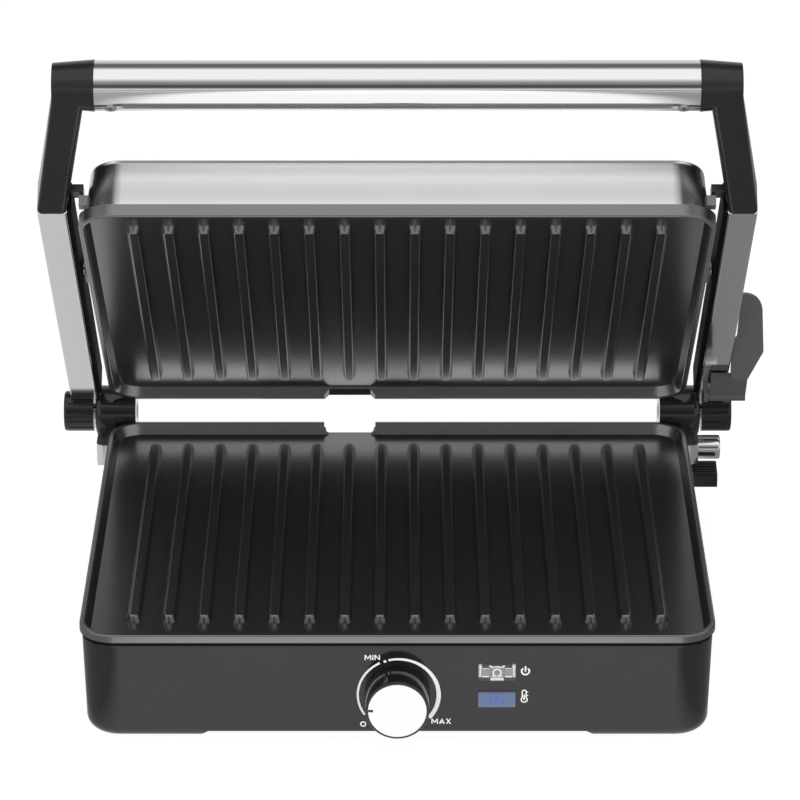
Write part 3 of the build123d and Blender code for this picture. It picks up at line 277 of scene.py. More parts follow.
class Sock:
    """A shader socket that can stand in a sum, so that a finish reads as maths."""

    def __init__(self, finish, socket):
        self.finish = finish
        self.socket = socket

    def maths(self, operation, *values):
        """Result of a Math node on these values, in order."""
        return self.finish.node("ShaderNodeMath", {"operation": operation}, dict(enumerate(values)))[0]

    def __add__(self, other):
        return self.maths("ADD", self, other)

    def __radd__(self, other):
        return self.maths("ADD", other, self)

    def __sub__(self, other):
        return self.maths("SUBTRACT", self, other)

    def __rsub__(self, other):
        return self.maths("SUBTRACT", other, self)

    def __mul__(self, other):
        return self.maths("MULTIPLY", self, other)

    def __rmul__(self, other):
        return self.maths("MULTIPLY", other, self)

    def __truediv__(self, other):
        return self.maths("DIVIDE", self, other)

    def __pow__(self, other):
        return self.maths("POWER", self, other)

    def __abs__(self):
        return self.maths("ABSOLUTE", self)

    def __neg__(self):
        return self.maths("MULTIPLY", self, -1.0)

    def most(self, other):
        """The larger of two values."""
        return self.maths("MAXIMUM", self, other)

    def below(self, limit, soft=0.1 * MM):
        """1 where the value is under the limit and 0 over it, with a soft step."""
        return 1 - self.ramp(limit - soft, limit + soft)

    def ramp(self, low, high):
        """0 below low, 1 above high, straight between."""
        return self.finish.node(
            "ShaderNodeMapRange", {"clamp": True}, {0: self, 1: low, 2: high, 3: 0.0, 4: 1.0}
        )[0]


class Finish:
    """One procedural material, built node by node. Its keywords are values of the shader's own sockets."""

    def __init__(self, name, **constants):
        self.material = bpy.data.materials.new(name)
        self.material.use_nodes = True
        self.tree = self.material.node_tree
        self.shader = self.tree.nodes["Principled BSDF"]
        for socket, value in constants.items():
            self.shader.inputs[socket.replace("_", " ")].default_value = value

    def node(self, kind, settings=None, inputs=None):
        """Add a node: its settings first, then a value or a link for each socket. Gives its outputs."""
        made = self.tree.nodes.new(kind)
        for name, value in (settings or {}).items():
            if name == "stops":
                while len(made.color_ramp.elements) < len(value):
                    made.color_ramp.elements.new(0.5)
                for element, (place, colour) in zip(made.color_ramp.elements, value):
                    element.position = place
                    element.color = (*colour, 1)
            else:
                setattr(made, name, value)
        for key, value in (inputs or {}).items():
            if isinstance(value, Sock):
                self.tree.links.new(value.socket, made.inputs[key])
            else:
                made.inputs[key].default_value = value
        return [Sock(self, output) for output in made.outputs]

    def place(self, at=(0, 0, 0), turn=(0, 0, 0)):
        """Object coordinates measured from a point, in axes turned by these angles."""
        here = self.node("ShaderNodeTexCoord")[3]
        moves = {"Vector": here, "Location": at, "Rotation": turn}
        return self.node("ShaderNodeMapping", {"vector_type": "TEXTURE"}, moves)[0]

    def axes(self, place):
        """The x, y and z of a place."""
        return self.node("ShaderNodeSeparateXYZ", None, {0: place})

    def rays(self):
        """Whether a ray comes from the camera, from a reflection or through something clear."""
        path = self.node("ShaderNodeLightPath")
        return path[0], path[3], path[6]

    def grain(self, place, size, stretch=(1, 1, 1), detail=2.0):
        """Noise from 0 to 1 whose spots are about this size, in metres, drawn out along the axes."""
        scale = tuple(1 / (size * s) for s in stretch)
        drawn = self.node("ShaderNodeVectorMath", {"operation": "MULTIPLY"}, {0: place, 1: scale})[0]
        return self.node("ShaderNodeTexNoise", None, {"Vector": drawn, "Scale": 1.0, "Detail": detail})[0]

    def mix(self, share, first, second):
        """Colour that runs from first to second."""
        ends = {0: share}
        for key, colour in ((6, first), (7, second)):
            ends[key] = colour if isinstance(colour, Sock) else (*colour, 1)
        return self.node("ShaderNodeMix", {"data_type": "RGBA"}, ends)[2]

    def feed(self, socket, value):
        """Link a value to the surface's socket."""
        self.tree.links.new(value.socket, self.shader.inputs[socket])

    def relief(self, height, depth, strength=1.0):
        """Bump the surface by a height from 0 to 1, this deep in metres."""
        bumped = self.node(
            "ShaderNodeBump", None, {"Strength": strength, "Distance": depth, "Height": height}
        )[0]
        self.feed("Normal", bumped)


class Surround(Finish):
    """The studio's world, built in the same way as a finish."""

    def __init__(self, name):
        world = bpy.data.worlds.new(name)
        world.use_nodes = True
        bpy.context.scene.world = world
        self.tree = world.node_tree
        self.shader = self.tree.nodes["Background"]


def grey(light):
    """A neutral colour."""
    return (light, light, light)


def shift(colour, gains):
    """A colour with each of its three values times its own number."""
    return tuple(min(1.0, c * gain) for c, gain in zip(colour, gains))


def tone(colour, gain):
    """A colour times one number."""
    return shift(colour, grey(gain))


def dress(finish, *names):
    """Give CAD nodes a finish."""
    for name in names:
        mesh = NODES[name].data
        mesh.materials.clear()
        mesh.materials.append(finish.material)


def gather(parts):
    """Join (points, faces) lists into one: later faces are counted on from the points before them."""
    points, faces, count = [], [], 0
    for some_points, some_faces in parts:
        points.append(np.asarray(some_points, float))
        faces += [tuple(int(i) + count for i in face) for face in some_faces]
        count += len(some_points)
    return np.concatenate(points), faces


def piece(name, parts, finish, body):
    """A new mesh piece at the origin, joined from its parts, that moves with a body."""
    points, faces = gather(parts)
    mesh = bpy.data.meshes.new(name)
    mesh.from_pydata(points.tolist(), [], faces)
    mesh.materials.append(finish.material)
    mesh.update()
    made = bpy.data.objects.new(name, mesh)
    bpy.context.scene.collection.objects.link(made)
    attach(made, body)


def panel_sheet(draft):
    """Surface of the front panel: (x, z, rise) to a point, where y falls back by the draft as z drops."""

    def at(x, z, rise):
        y = PANEL_TOP.y + (PANEL_TOP.z - z) * tan(draft) - rise
        return np.stack([x, y, z], -1)

    return at


def flat_sheet(origin, across, along):
    """Flat surface through a point: origin + u across + v along + rise times their cross product."""
    normal = Vector(across).cross(Vector(along))
    start, first, second, out = (np.array(v, float) for v in (origin, across, along, normal))

    def at(u, v, rise):
        return start + u[..., None] * first + v[..., None] * second + rise[..., None] * out

    return at


def ribbon(path, widths, sheet, rise, tips=False, loop=False):
    """A raised line: a four-cornered section carried along a path on a sheet.

    Corner k of the section at path point p lies at p plus or minus half the width along the path's
    normal, at height rise or SINK under the sheet. With tips, the width near each end follows a half
    circle. A loop joins its last point to its first.
    """
    path = np.asarray(path, float)
    count = len(path)
    widths = np.broadcast_to(np.asarray(widths, float), count).copy()
    run = np.roll(path, -1, 0) - np.roll(path, 1, 0) if loop else np.gradient(path, axis=0)
    run /= np.linalg.norm(run, axis=1)[:, None]
    side = np.stack([-run[:, 1], run[:, 0]], -1)
    if tips:
        step = np.linalg.norm(np.diff(path, axis=0), axis=1)
        gone = np.concatenate([[0], np.cumsum(step)])
        half = widths / 2
        near = np.clip(half - np.minimum(gone, gone[-1] - gone), 0, half)
        widths = 2 * np.sqrt(np.maximum(half**2 - near**2, (TIP_LEAST * half) ** 2))
    edge = side * (widths / 2)[:, None]
    high = np.full(count, rise)
    low = np.full(count, -SINK)
    rows = [
        sheet(*(path - edge).T, low),
        sheet(*(path + edge).T, low),
        sheet(*(path + edge).T, high),
        sheet(*(path - edge).T, high),
    ]
    points = np.stack(rows, 1).reshape(-1, 3)
    here = np.arange(count if loop else count - 1)[:, None] * 4
    ahead = (here + 4) % (4 * count)
    k = np.arange(4)[None, :]
    turn = (k + 1) % 4
    faces = np.stack([here + k, here + turn, ahead + turn, ahead + k], -1).reshape(-1, 4).tolist()
    if not loop:
        last = 4 * (count - 1)
        faces += [[3, 2, 1, 0], [last, last + 1, last + 2, last + 3]]
    return points, faces


def arc(middle, radius, start, end, count=ARC_POINTS):
    """Points of a circle's arc from one angle to another, in degrees, anticlockwise from +u."""
    angle = np.radians(np.linspace(start, end, count))
    return np.stack([middle[0] + radius * np.cos(angle), middle[1] + radius * np.sin(angle)], -1)


def line(start, end, count=12):
    """Points of a straight run."""
    share = np.linspace(0, 1, count)[:, None]
    return np.asarray(start) * (1 - share) + np.asarray(end) * share


def circle(middle, radius, count=64):
    """Points round a whole circle, the first not repeated."""
    return arc(middle, radius, 0, 360, count + 1)[:-1]


def word(text, middle, height, sheet, rise):
    """A printed word of plain strokes, centred on a point: each stroke is a straight raised line.

    Letters follow each other at their widths plus a gap. Each stroke stands a hair higher than the one
    before it, so that no two faces lie in one plane where strokes cross.
    """
    wide = sum(LETTERS[letter][0] for letter in text) + LETTER_GAP * (len(text) - 1)
    left = -wide / 2
    parts = []
    for letter in text:
        width, strokes = LETTERS[letter]
        for stroke in strokes:
            ends = [(middle[0] + (left + u) * height, middle[1] + (v - 0.5) * height) for u, v in stroke]
            lift = rise * (1 + STROKE_STEP * len(parts))
            parts.append(ribbon(line(*ends, 2), STROKE * height, sheet, lift))
        left += width + LETTER_GAP
    return parts


def moulded(name, colour, roughness, grit=0.8 * MM, depth=0.002 * MM, **constants):
    """Moulded plastic: fine spark-eroded grain, slow drift in tone and in gloss."""
    finish = Finish(name, Roughness=roughness, **constants)
    place = finish.place()
    drift = finish.grain(place, 22 * MM)
    fine = finish.grain(place, grit)
    finish.feed("Base Color", finish.mix(drift * 0.6 + fine * 0.4, tone(colour, 0.8), tone(colour, 1.2)))
    finish.feed("Roughness", roughness * (0.75 + drift * 0.3 + fine * 0.2))
    finish.relief(fine, depth)
    return finish


def metal(name, colour, roughness, stretch=(1, 1, 1), size=0.5 * MM, depth=0.002 * MM, turn=(0, 0, 0)):
    """Bare metal: drawn or turned lines along one axis, with a slow drift in its polish."""
    finish = Finish(name, Metallic=1.0, Roughness=roughness)
    place = finish.place(HINGE, turn)
    lines = finish.grain(place, size, stretch, detail=3.0)
    drift = finish.grain(place, 30 * MM)
    finish.feed("Base Color", finish.mix(lines, tone(colour, 0.93), tone(colour, 1.06)))
    finish.feed("Roughness", roughness * (0.7 + lines * 0.35 + drift * 0.25))
    finish.relief(lines, depth, 0.6)
    return finish


def brushed_lid(colour):
    """Steel brushed round the lid: fine lines along x, and painted shade low on its skirt: a darker band of
    steel that stands in for a dip in its reflections.

    The shade band is 1 at its middle and falls off as the square of the way to its edges.
    """
    finish = Finish("lid_brushed", Metallic=1.0, Roughness=0.22)
    place = finish.place(HINGE, (-OPEN, 0, 0))
    off = (finish.axes(place)[2] - SHADE_BAND_UP) / SHADE_BAND_HALF
    shade_band = (1 - off * off).most(0.0)
    lines = finish.grain(place, 0.35 * MM, (60, 1.2, 1.2), detail=3.0)
    drift = finish.grain(place, 40 * MM)
    bright = finish.mix(lines, tone(colour, 1.02), tone(colour, 1.12))
    # Painted shade: in the band the lid's colour is made darker, though the steel is the same all over
    shaded_steel = finish.mix(lines, tone(colour, 0.74), tone(colour, 0.82))
    finish.feed("Base Color", finish.mix(shade_band, bright, shaded_steel))
    finish.feed("Roughness", 0.17 + lines * 0.07 + drift * 0.05)
    finish.relief(lines, 0.002 * MM, 0.6)
    return finish


def non_stick(name, colour, rim, corner, middle, turn=(0, 0, 0)):
    """Dark glossy non-stick coat with a fine fleck; the outer edge of the rim is a satin grey.

    The edge is found by the distance to a rounded rectangle, the plate's outline:
    length of max(|p| - (half - corner), 0) minus corner, which is 0 on the outline.
    """
    finish = Finish(name, Roughness=0.22, IOR=2.9)
    place = finish.place(middle, turn)
    x, y, _ = finish.axes(place)
    over_x = (abs(x) - (PLATE_W / 2 - corner)).most(0.0)
    over_y = (abs(y) - (PLATE_D / 2 - corner)).most(0.0)
    outline = (over_x * over_x + over_y * over_y) ** 0.5 - corner
    edge = outline.ramp(-0.6 * MM, -0.2 * MM)
    fleck = finish.grain(place, 0.9 * MM)
    drift = finish.grain(place, 35 * MM)
    coat = finish.mix(fleck * 0.5 + drift * 0.5, tone(colour, 0.8), tone(colour, 1.2))
    finish.feed("Base Color", finish.mix(edge, coat, tuple(rim)))
    finish.feed("Metallic", edge)
    finish.feed("Roughness", 0.2 + fleck * 0.02 + drift * 0.03 + edge * 0.08)
    finish.relief(fleck, 0.001 * MM, 0.5)
    return finish


class PRESS_OT_base(bpy.types.Operator):
    """Dress the housing, its cover, its pads, the hinge towers and the tray"""

    bl_idname = "press.base"
    bl_label = "Base"

    def execute(self, context):
        colours = context.scene.press_colours
        gloss = moulded("housing_black", colours.housing, 0.1, IOR=1.55)
        dress(gloss, "housing", "hinge_tower_left", "hinge_tower_right")
        matt = moulded("cover_black", tone(colours.housing, 1.3), 0.45, grit=0.6 * MM, depth=0.02 * MM)
        dress(matt, "bottom_cover", "cord_inlet", "drip_tray")
        rubber = moulded("pad_rubber", grey(0.022), 0.75, depth=0.04 * MM)
        dress(rubber, "rubber_feet")
        return {"FINISHED"}


class PRESS_OT_plates(bpy.types.Operator):
    """Coat the two grill plates"""

    bl_idname = "press.plates"
    bl_label = "Grill plates"

    def execute(self, context):
        colours = context.scene.press_colours
        corner = context.scene.press_sizes.plate_corner
        lower = non_stick("lower_coat", colours.non_stick, colours.rim, corner, (0, 0, LOWER_RIM))
        dress(lower, "lower_plate")
        upper = non_stick("upper_coat", colours.non_stick, colours.rim, corner, UPPER_MID, (-OPEN, 0, 0))
        dress(upper, "upper_plate")
        return {"FINISHED"}


class PRESS_OT_inside(bpy.types.Operator):
    """Dress the heating pans, tubes, control and lamp board inside"""

    bl_idname = "press.inside"
    bl_label = "Inner pieces"

    def execute(self, context):
        sheet = metal("reflector_sheet", (0.72, 0.72, 0.73), 0.25, (8, 1, 1))
        dress(sheet, "lower_reflector", "upper_reflector")
        tube = metal("heating_tube", (0.28, 0.26, 0.24), 0.5, size=2 * MM)
        dress(tube, "lower_element", "upper_element")
        dress(moulded("control_brown", (0.12, 0.09, 0.06), 0.5), "thermostat")
        dress(moulded("board_green", (0.02, 0.09, 0.04), 0.4, grit=1.2 * MM), "lamp_board")
        dress(moulded("lamp_epoxy", (0.7, 0.7, 0.66), 0.15, grit=1 * MM), "indicator_lamps")
        return {"FINISHED"}


class PRESS_OT_panel(bpy.types.Operator):
    """Print the dial's scale, its words and the two signs on the front panel"""

    bl_idname = "press.panel"
    bl_label = "Panel print"

    def execute(self, context):
        sizes = context.scene.press_sizes
        sheet = panel_sheet(sizes.panel_draft)
        rise = sizes.print_rise

        def mark(x, z):
            """A place on the panel, measured from the dial's axis."""
            return (DIAL.x + x, DIAL.z + z)

        def growing(start, end):
            """Widths of the ring along an arc between two angles."""
            turned = (RING_TOP - np.linspace(start, end, ARC_POINTS)) / RING_TOP
            return RING_WIDTH * (1 + RING_GROWTH * np.clip(turned, 0, 1))

        def printed(path, widths, **ends):
            """One printed line."""
            return ribbon(path, widths, sheet, rise, **ends)

        middle = mark(RING_SHIFT, 0)
        parts = [printed(arc(middle, sizes.ring_radius, *ends), growing(*ends)) for ends in RING_ARCS]
        parts += [
            printed(line(mark(*START_TICK[0]), mark(*START_TICK[1]), 24), 1.4 * MM, tips=True),
            printed(circle(mark(*OFF_MARK), OFF_RADIUS), 0.62 * MM, loop=True),
        ]
        for text, place in WORDS.items():
            parts += word(text, mark(*place), sizes.letter_height, sheet, rise)
        u, v = POWER_SIGN
        parts += [
            printed(arc((u, v), POWER_RADIUS, *POWER_ARC, 64), 0.74 * MM, tips=True),
            printed(line((u, v + POWER_BAR[0]), (u, v + POWER_BAR[1])), 0.7 * MM, tips=True),
        ]
        u, v = HEAT_SIGN
        bulb = arc((u, v), HEAT_BULB, *HEAT_ARC, 48)
        stem = arc((u, v + HEAT_TOP), HEAT_STEM, 0, 180, 24)
        parts += [
            printed(np.concatenate([bulb, stem]), 0.56 * MM, loop=True),
            printed(line((u, v + HEAT_COLUMN[0]), (u, v + HEAT_COLUMN[1])), 0.62 * MM, tips=True),
        ]
        for up in HEAT_TICKS:
            ends = [(u + away, v + up) for away in HEAT_TICK_ENDS]
            parts.append(printed(line(*ends), 0.42 * MM))
        ink = Finish("print_white", Roughness=0.5)
        worn = ink.grain(ink.place(), 0.3 * MM)
        ink.feed("Base Color", ink.mix(worn, grey(0.92), grey(0.97)))
        ink.feed("Roughness", 0.42 + worn * 0.12)
        piece("panel_print", parts, ink, "base")
        return {"FINISHED"}


class PRESS_OT_dial(bpy.types.Operator):
    """Dress the dial, its face disc and its pointer mark"""

    bl_idname = "press.dial"
    bl_label = "Dial"

    def execute(self, context):
        body = moulded("dial_black", (0.014, 0.014, 0.0142), 0.13)
        dress(body, "knob")
        disc = Finish("dial_disc", Metallic=1.0, Roughness=0.22)
        x, _, z = disc.axes(disc.place(DIAL))
        along = (x * x + z * z) ** 0.5 * TURNED_RINGS
        rings = disc.node(
            "ShaderNodeTexNoise", {"noise_dimensions": "1D"}, {"W": along, "Scale": 1.0, "Detail": 2.0}
        )[0]
        disc.feed("Base Color", disc.mix(rings, grey(0.94), grey(0.98)))
        disc.feed("Roughness", 0.18 + rings * 0.08)
        disc.relief(rings, 0.001 * MM, 0.5)
        dress(disc, "knob_face")
        low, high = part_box("knob_face")
        front = flat_sheet((DIAL.x, low.y, DIAL.z), (1, 0, 0), (0, 0, 1))
        tip = line(*[(-high.x + inward, 0) for inward in POINTER_ENDS])
        pointer = ribbon(tip, POINTER_WIDTH, front, context.scene.press_sizes.print_rise)
        piece("dial_pointer", [pointer], moulded("pointer_black", grey(0.02), 0.45), "dial")
        return {"FINISHED"}


def clear_lens(middle):
    """Clear moulded lens: grey wings with a dark slot over each, pale end posts, a core and a foot."""
    finish = Finish("clear_lens", Roughness=0.14, Coat_Weight=0.5, Coat_Roughness=0.05)
    place = finish.place(middle)
    x, _, z = finish.axes(place)
    wide = abs(x)
    over_foot = 1 - z.below(-2.4 * MM)
    wing = (1 - wide.below(3.5 * MM)) * z.below(2.3 * MM) * over_foot
    post = (1 - wide.below(6.9 * MM)) * over_foot
    core = wide.below(3.4 * MM) * z.below(3.0 * MM) * over_foot
    foot = wide.below(3.0 * MM) * (1 - over_foot)
    haze = finish.grain(place, 1.2 * MM, detail=3.0)
    light = 0.03 + (wing * 0.24).most(post * 0.32).most(core * 0.2).most(foot * 0.38)
    finish.feed("Base Color", finish.mix(light * (0.75 + haze * 0.5), (0, 0, 0), (1, 1, 1.02)))
    finish.feed("Roughness", 0.1 + haze * 0.08)
    return finish


def tinted_lens(middle, half_h, tint):
    """Tinted moulded lens: a painted shadow along the top, drawn as a dark strip, a deeper middle with a
    round eye, a paler foot.
    """
    finish = Finish("blue_lens", Roughness=0.14, Coat_Weight=0.5, Coat_Roughness=0.05)
    place = finish.place(middle)
    x, _, z = finish.axes(place)
    # Painted shadow: the dark strip across the top of the lens stands in for the shadow line under its
    # upper edge
    shadow_strip = 1 - z.below(half_h - 1.0 * MM)
    foot = z.below(-half_h + 1.2 * MM)
    core = abs(x).below(3.6 * MM, 0.4 * MM)
    eye = ((x * x + z * z) ** 0.5).below(1.9 * MM, 0.5 * MM)
    haze = finish.grain(place, 1.6 * MM, detail=3.0)
    glass = finish.mix(haze, tone(tint, 0.9), tone(tint, 1.1))
    glass = finish.mix(core * 0.8, glass, shift(tint, (0.75, 0.85, 1.15)))
    glass = finish.mix(eye * 0.8, glass, shift(tint, (0.6, 0.85, 1.4)))
    glass = finish.mix(foot, glass, shift(tint, (1.15, 1.05, 0.8)))
    finish.feed("Base Color", finish.mix(shadow_strip, glass, (0.006, 0.008, 0.03)))
    finish.feed("Roughness", 0.1 + haze * 0.08)
    return finish


def prism_bars(rows, sheet, rise, side=1):
    """Raised straight bars from rows of start, end, width and round tips; side -1 mirrors them."""
    parts = []
    for start, end, width, tips in rows:
        ends = [(side * u * MM, v * MM) for u, v in (start, end)]
        parts.append(ribbon(line(*ends), width * MM, sheet, rise, tips))
    return parts


class PRESS_OT_lenses(bpy.types.Operator):
    """Dress the two indicator lenses and raise their prism frames"""

    bl_idname = "press.lenses"
    bl_label = "Indicator lenses"

    def execute(self, context):
        tint = tuple(context.scene.press_colours.blue)
        rise = context.scene.press_sizes.print_rise
        for node, slot in (("power_lens", "clear_lens"), ("heat_lens", "blue_lens")):
            low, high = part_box(node)
            middle = (low + high) / 2
            front = flat_sheet((middle.x, low.y, middle.z), (1, 0, 0), (0, 0, 1))
            if node == "power_lens":
                dress(clear_lens(middle), node)
                light = grey(0.8)
                parts = [
                    ribbon(circle((0, 0), 1.75 * MM), 0.66 * MM, front, rise, loop=True),
                    ribbon(arc((0, -1.0 * MM), 4.0 * MM, 62, 118, 24), 0.5 * MM, front, rise, tips=True),
                    *prism_bars(CLEAR_BARS, front, rise),
                    *prism_bars(CLEAR_WINGS, front, rise, -1),
                    *prism_bars(CLEAR_WINGS, front, rise),
                ]
            else:
                dress(tinted_lens(middle, (high.z - low.z) / 2, tint), node)
                light = tone(tint, 1.35)
                parts = [
                    ribbon(circle((0, 0), 2.0 * MM), 0.3 * MM, front, rise, loop=True),
                    *prism_bars(TINTED_BARS, front, rise),
                ]
            bright = Finish(f"{slot}_prisms", Roughness=0.15, Coat_Weight=0.5)
            shine = bright.grain(bright.place(middle), 0.8 * MM)
            bright.feed("Base Color", bright.mix(shine, tone(light, 0.85), tone(light, 1.15)))
            piece(f"{node}_prisms", parts, bright, "base")
        return {"FINISHED"}


class PRESS_OT_lid(bpy.types.Operator):
    """Brush the lid shell and dress the pieces that hang it"""

    bl_idname = "press.lid"
    bl_label = "Lid"

    def execute(self, context):
        colours = context.scene.press_colours
        dress(brushed_lid(colours.steel), "lid_shell")
        cast = metal("hanger_cast", tone(colours.satin, 0.35), 0.35, size=1.2 * MM, depth=0.01 * MM)
        dress(cast, "pivot_bracket_left", "pivot_bracket_right", "stop_lug_left", "stop_lug_right")
        return {"FINISHED"}


class PRESS_OT_arms(bpy.types.Operator):
    """Dress the arms, their liners, the drums, the elbows and the handle bar"""

    bl_idname = "press.arms"
    bl_label = "Arms and handle"

    def execute(self, context):
        colours = context.scene.press_colours
        satin = metal("arm_satin", colours.satin, 0.1, (1, 60, 1), 0.4 * MM, 0.0006 * MM, (-OPEN, 0, 0))
        dress(satin, "arm_left", "arm_right")
        black = moulded("arm_black", (0.012, 0.012, 0.0122), 0.14)
        dress(black, "elbow_left", "elbow_right", "hinge_drum_left", "hinge_drum_right")
        lining = moulded("liner_black", grey(0.004), 0.7, Specular_IOR_Level=0.1)
        dress(lining, "arm_liner_left", "arm_liner_right")
        bar = metal("bar_chrome", colours.chrome, 0.07, (80, 1, 1), 0.3 * MM, 0.0003 * MM)
        dress(bar, "handle_bar")
        return {"FINISHED"}


class PRESS_OT_hinge_side(bpy.types.Operator):
    """Dress the cheeks, the release button, the plate latch and the release lever"""

    bl_idname = "press.hinge_side"
    bl_label = "Hinge side"

    def execute(self, context):
        colours = context.scene.press_colours
        cheek = metal("cheek_satin", colours.satin, 0.16, (1, 30, 1), 0.5 * MM, 0.001 * MM)
        dress(cheek, "hinge_cheek_left", "hinge_cheek_right")
        plated = metal("button_plated", colours.chrome, 0.1, size=1.0 * MM, depth=0.0003 * MM)
        dress(plated, "release_button")
        dress(moulded("latch_black", grey(0.012), 0.2), "plate_latch")
        dress(moulded("lever_grey", colours.lever, 0.4, grit=0.5 * MM, depth=0.01 * MM), "release_lever")
        return {"FINISHED"}


class PRESS_OT_hardware(bpy.types.Operator):
    """Dress the screws and pins, and paint the shade of a cross recess on each screw head as a thin dark
    cross
    """

    bl_idname = "press.hardware"
    bl_label = "Screws and pins"

    def execute(self, context):
        steel = metal("screw_steel", (0.5, 0.5, 0.51), 0.3, size=0.6 * MM, depth=0.004 * MM)
        dress(steel, "bottom_screws", "tower_screws", "handle_screws")
        turned = metal("pin_steel", (0.55, 0.55, 0.56), 0.25, (6, 1, 1), 0.4 * MM)
        dress(turned, "hinge_pin_left", "hinge_pin_right", "lid_pivot_pins", "lever_axle", "knob_shaft")
        dress(moulded("stop_black", grey(0.012), 0.25), "stop_pins")
        dress(metal("bracket_steel", (0.35, 0.35, 0.355), 0.4, size=1 * MM), "lever_bracket")
        # Painted shade: the screw heads' cross recesses are drawn as thin dark crosses standing on the
        # heads, not cut into them
        dark = moulded("painted_recess_shade", grey(0.01), 0.6)
        heads = {"base": [], "arms": []}
        low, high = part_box("bottom_screws")
        for x in (low.x + HEAD_R, high.x - HEAD_R):
            for y in (low.y + HEAD_R, high.y - HEAD_R):
                heads["base"].append(flat_sheet((x, y, low.z), (1, 0, 0), (0, -1, 0)))
        low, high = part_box("tower_screws")
        for x in (low.x + HEAD_R, high.x - HEAD_R):
            for z in (low.z + HEAD_R, high.z - HEAD_R):
                heads["base"].append(flat_sheet((x, high.y, z), (-1, 0, 0), (0, 0, 1)))
        under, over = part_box("handle_bar")
        axis = (under + over) / 2
        reach = (over.z - under.z) / 2 + HEAD_PROUD
        low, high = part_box("handle_screws")
        for x in (low.x + HEAD_R, high.x - HEAD_R):
            head = Vector((x, axis.y, axis.z)) - LID_UP * reach
            heads["arms"].append(flat_sheet(head, (1, 0, 0), -LID_BACK))
        bars = (((CROSS_HALF, 0), CROSS_RISE), ((0, CROSS_HALF), CROSS_STEP * CROSS_RISE))
        for body, sheets in heads.items():
            parts = []
            for sheet in sheets:
                for end, rise in bars:
                    parts.append(ribbon(line((-end[0], -end[1]), end), CROSS_WIDTH, sheet, rise))
            piece(f"screw_cross_shade_{body}", parts, dark, body)
        return {"FINISHED"}


def studio_floor(size):
    """Pale floor: white to the camera and to reflections, and diffuse so that it keeps the shadow.

    Reflections see a card on it on either side of the press: the left one is light behind and darker in
    front, and the right one is dark.
    """
    finish = Finish("floor_pale", Roughness=0.9)
    place = finish.place()
    paper = finish.grain(place, 40 * MM)
    finish.feed("Base Color", finish.mix(paper, grey(0.9), grey(0.93)))
    camera, glossy, through = finish.rays()
    x, y, _ = finish.axes(place)
    left = CARD_LEFT_BACK + y.below(0.0) * (CARD_LEFT_FRONT - CARD_LEFT_BACK)
    cards = (-x).ramp(*CARD_EDGE) * left + x.ramp(*CARD_EDGE) * CARD_RIGHT
    shade = finish.mix(cards * glossy, grey(1), grey(0))
    glow = finish.node("ShaderNodeEmission", None, {"Color": shade, "Strength": FLOOR_GLOW})[0]
    surface = Sock(finish, finish.shader.outputs[0])
    seen = camera.most(glossy).most(through)
    mixed = finish.node("ShaderNodeMixShader", None, {0: seen * FLOOR_SHARE, 1: surface, 2: glow})[0]
    finish.tree.links.new(mixed.socket, finish.tree.nodes["Material Output"].inputs["Surface"])
    half = size / 2
    corners = [(-half, -half, 0), (half, -half, 0), (half, half, 0), (-half, half, 0)]
    mesh = bpy.data.meshes.new("studio_floor")
    mesh.from_pydata(corners, [], [(0, 1, 2, 3)])
    mesh.materials.append(finish.material)
    floor = bpy.data.objects.new("studio_floor", mesh)
    bpy.context.scene.collection.objects.link(floor)


def studio_world():
    """Soft even light. Reflections see bands over the press, pale sides and a dark card on each side.

    The bands follow the angle from the front, over the top, to the back: a long bright box overhead, with
    dim stretches before and behind it. A card starts further back the further out it reaches, and leaves
    the upper part of the back open.
    """
    finish = Surround("studio")
    x, y, z = finish.axes(finish.node("ShaderNodeTexCoord")[0])
    over = z.maths("ARCTAN2", z, -y) / pi
    stops = [(share, grey(light)) for share, light in BANDS]
    shown = finish.node("ShaderNodeValToRGB", {"stops": stops}, {0: over})[0]
    side = abs(x)
    shown = finish.mix(side.ramp(*SIDE_EDGE), shown, grey(SIDE_LIGHT))
    behind = (y - side * SIDE_CARD_LEAN + SIDE_CARD_FRONT).ramp(*SIDE_CARD_SOFT)
    high_back = y.ramp(*HIGH_BACK_Y) * z.ramp(*HIGH_BACK_Z)
    card = side.ramp(*SIDE_CARD_EDGE) * behind * (1 - high_back)
    shown = finish.mix(card, shown, grey(SIDE_CARD_LIGHT))
    camera, glossy, through = finish.rays()
    lit = finish.mix(glossy, grey(AMBIENT), shown)
    finish.feed("Color", finish.mix(camera.most(through), lit, grey(1)))


def soft_lamp(name, place, aim, width, height, watts):
    """An area lamp that faces a point and shows in no reflection."""
    data = bpy.data.lights.new(name, "AREA")
    data.shape = "RECTANGLE"
    data.size = width
    data.size_y = height
    data.energy = watts
    lamp = bpy.data.objects.new(name, data)
    lamp.location = place
    lamp.rotation_euler = (Vector(aim) - Vector(place)).to_track_quat("-Z", "Y").to_euler()
    lamp.visible_glossy = False
    bpy.context.scene.collection.objects.link(lamp)


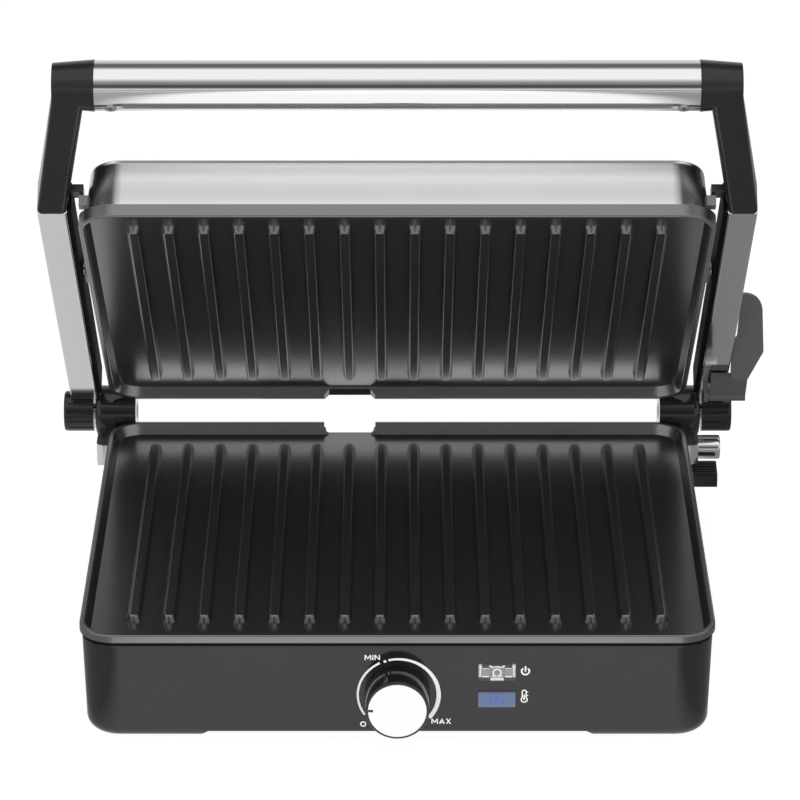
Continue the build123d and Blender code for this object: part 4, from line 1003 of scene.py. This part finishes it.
class PRESS_OT_stage(bpy.types.Operator):
    """Set the floor, the soft light and the camera"""

    bl_idname = "press.stage"
    bl_label = "Studio"

    def execute(self, context):
        scene = context.scene
        studio_floor(scene.press_sizes.floor_size)
        studio_world()
        for lamp in LAMPS:
            soft_lamp(*lamp)
        data = bpy.data.cameras.new("camera")
        data.lens = CAMERA_LENS
        data.sensor_width = CAMERA_SENSOR
        camera = bpy.data.objects.new("camera", data)
        camera.location = CAMERA_AT
        camera.rotation_euler = (radians(90 - CAMERA_DOWN), 0, 0)
        scene.collection.objects.link(camera)
        scene.camera = camera
        scene.view_settings.view_transform = "Standard"
        return {"FINISHED"}


OPERATORS = (
    PRESS_OT_base,
    PRESS_OT_plates,
    PRESS_OT_inside,
    PRESS_OT_panel,
    PRESS_OT_dial,
    PRESS_OT_lenses,
    PRESS_OT_lid,
    PRESS_OT_arms,
    PRESS_OT_hinge_side,
    PRESS_OT_hardware,
    PRESS_OT_stage,
)


class PRESS_PT_tools(bpy.types.Panel):
    """Sidebar list of the press's steps, sizes and colours"""

    bl_idname = "PRESS_PT_tools"
    bl_label = "Panini press"
    bl_space_type = "VIEW_3D"
    bl_region_type = "UI"
    bl_category = "Press"

    def draw(self, context):
        for operator in OPERATORS:
            self.layout.operator(operator.bl_idname)
        for group in (context.scene.press_sizes, context.scene.press_colours):
            for name in group.bl_rna.properties.keys():
                if name not in ("rna_type", "name"):
                    self.layout.prop(group, name)


CLASSES = (PressSizes, PressColours, *OPERATORS, PRESS_PT_tools)


def register():
    """Add the classes, and the settings to the scene."""
    for cls in CLASSES:
        bpy.utils.register_class(cls)
    bpy.types.Scene.press_sizes = PointerProperty(type=PressSizes)
    bpy.types.Scene.press_colours = PointerProperty(type=PressColours)


def unregister():
    """Take the settings and the classes away again."""
    del bpy.types.Scene.press_sizes
    del bpy.types.Scene.press_colours
    for cls in reversed(CLASSES):
        bpy.utils.unregister_class(cls)


def main():
    """Dress the press piece by piece and set the studio, with its sizes and colours added to the scene as
    settings.
    """
    register()
    bpy.ops.press.base()
    bpy.ops.press.plates()
    bpy.ops.press.inside()
    bpy.ops.press.panel()
    bpy.ops.press.dial()
    bpy.ops.press.lenses()
    bpy.ops.press.lid()
    bpy.ops.press.arms()
    bpy.ops.press.hinge_side()
    bpy.ops.press.hardware()
    bpy.ops.press.stage()


if __name__ == "__main__":
    main()
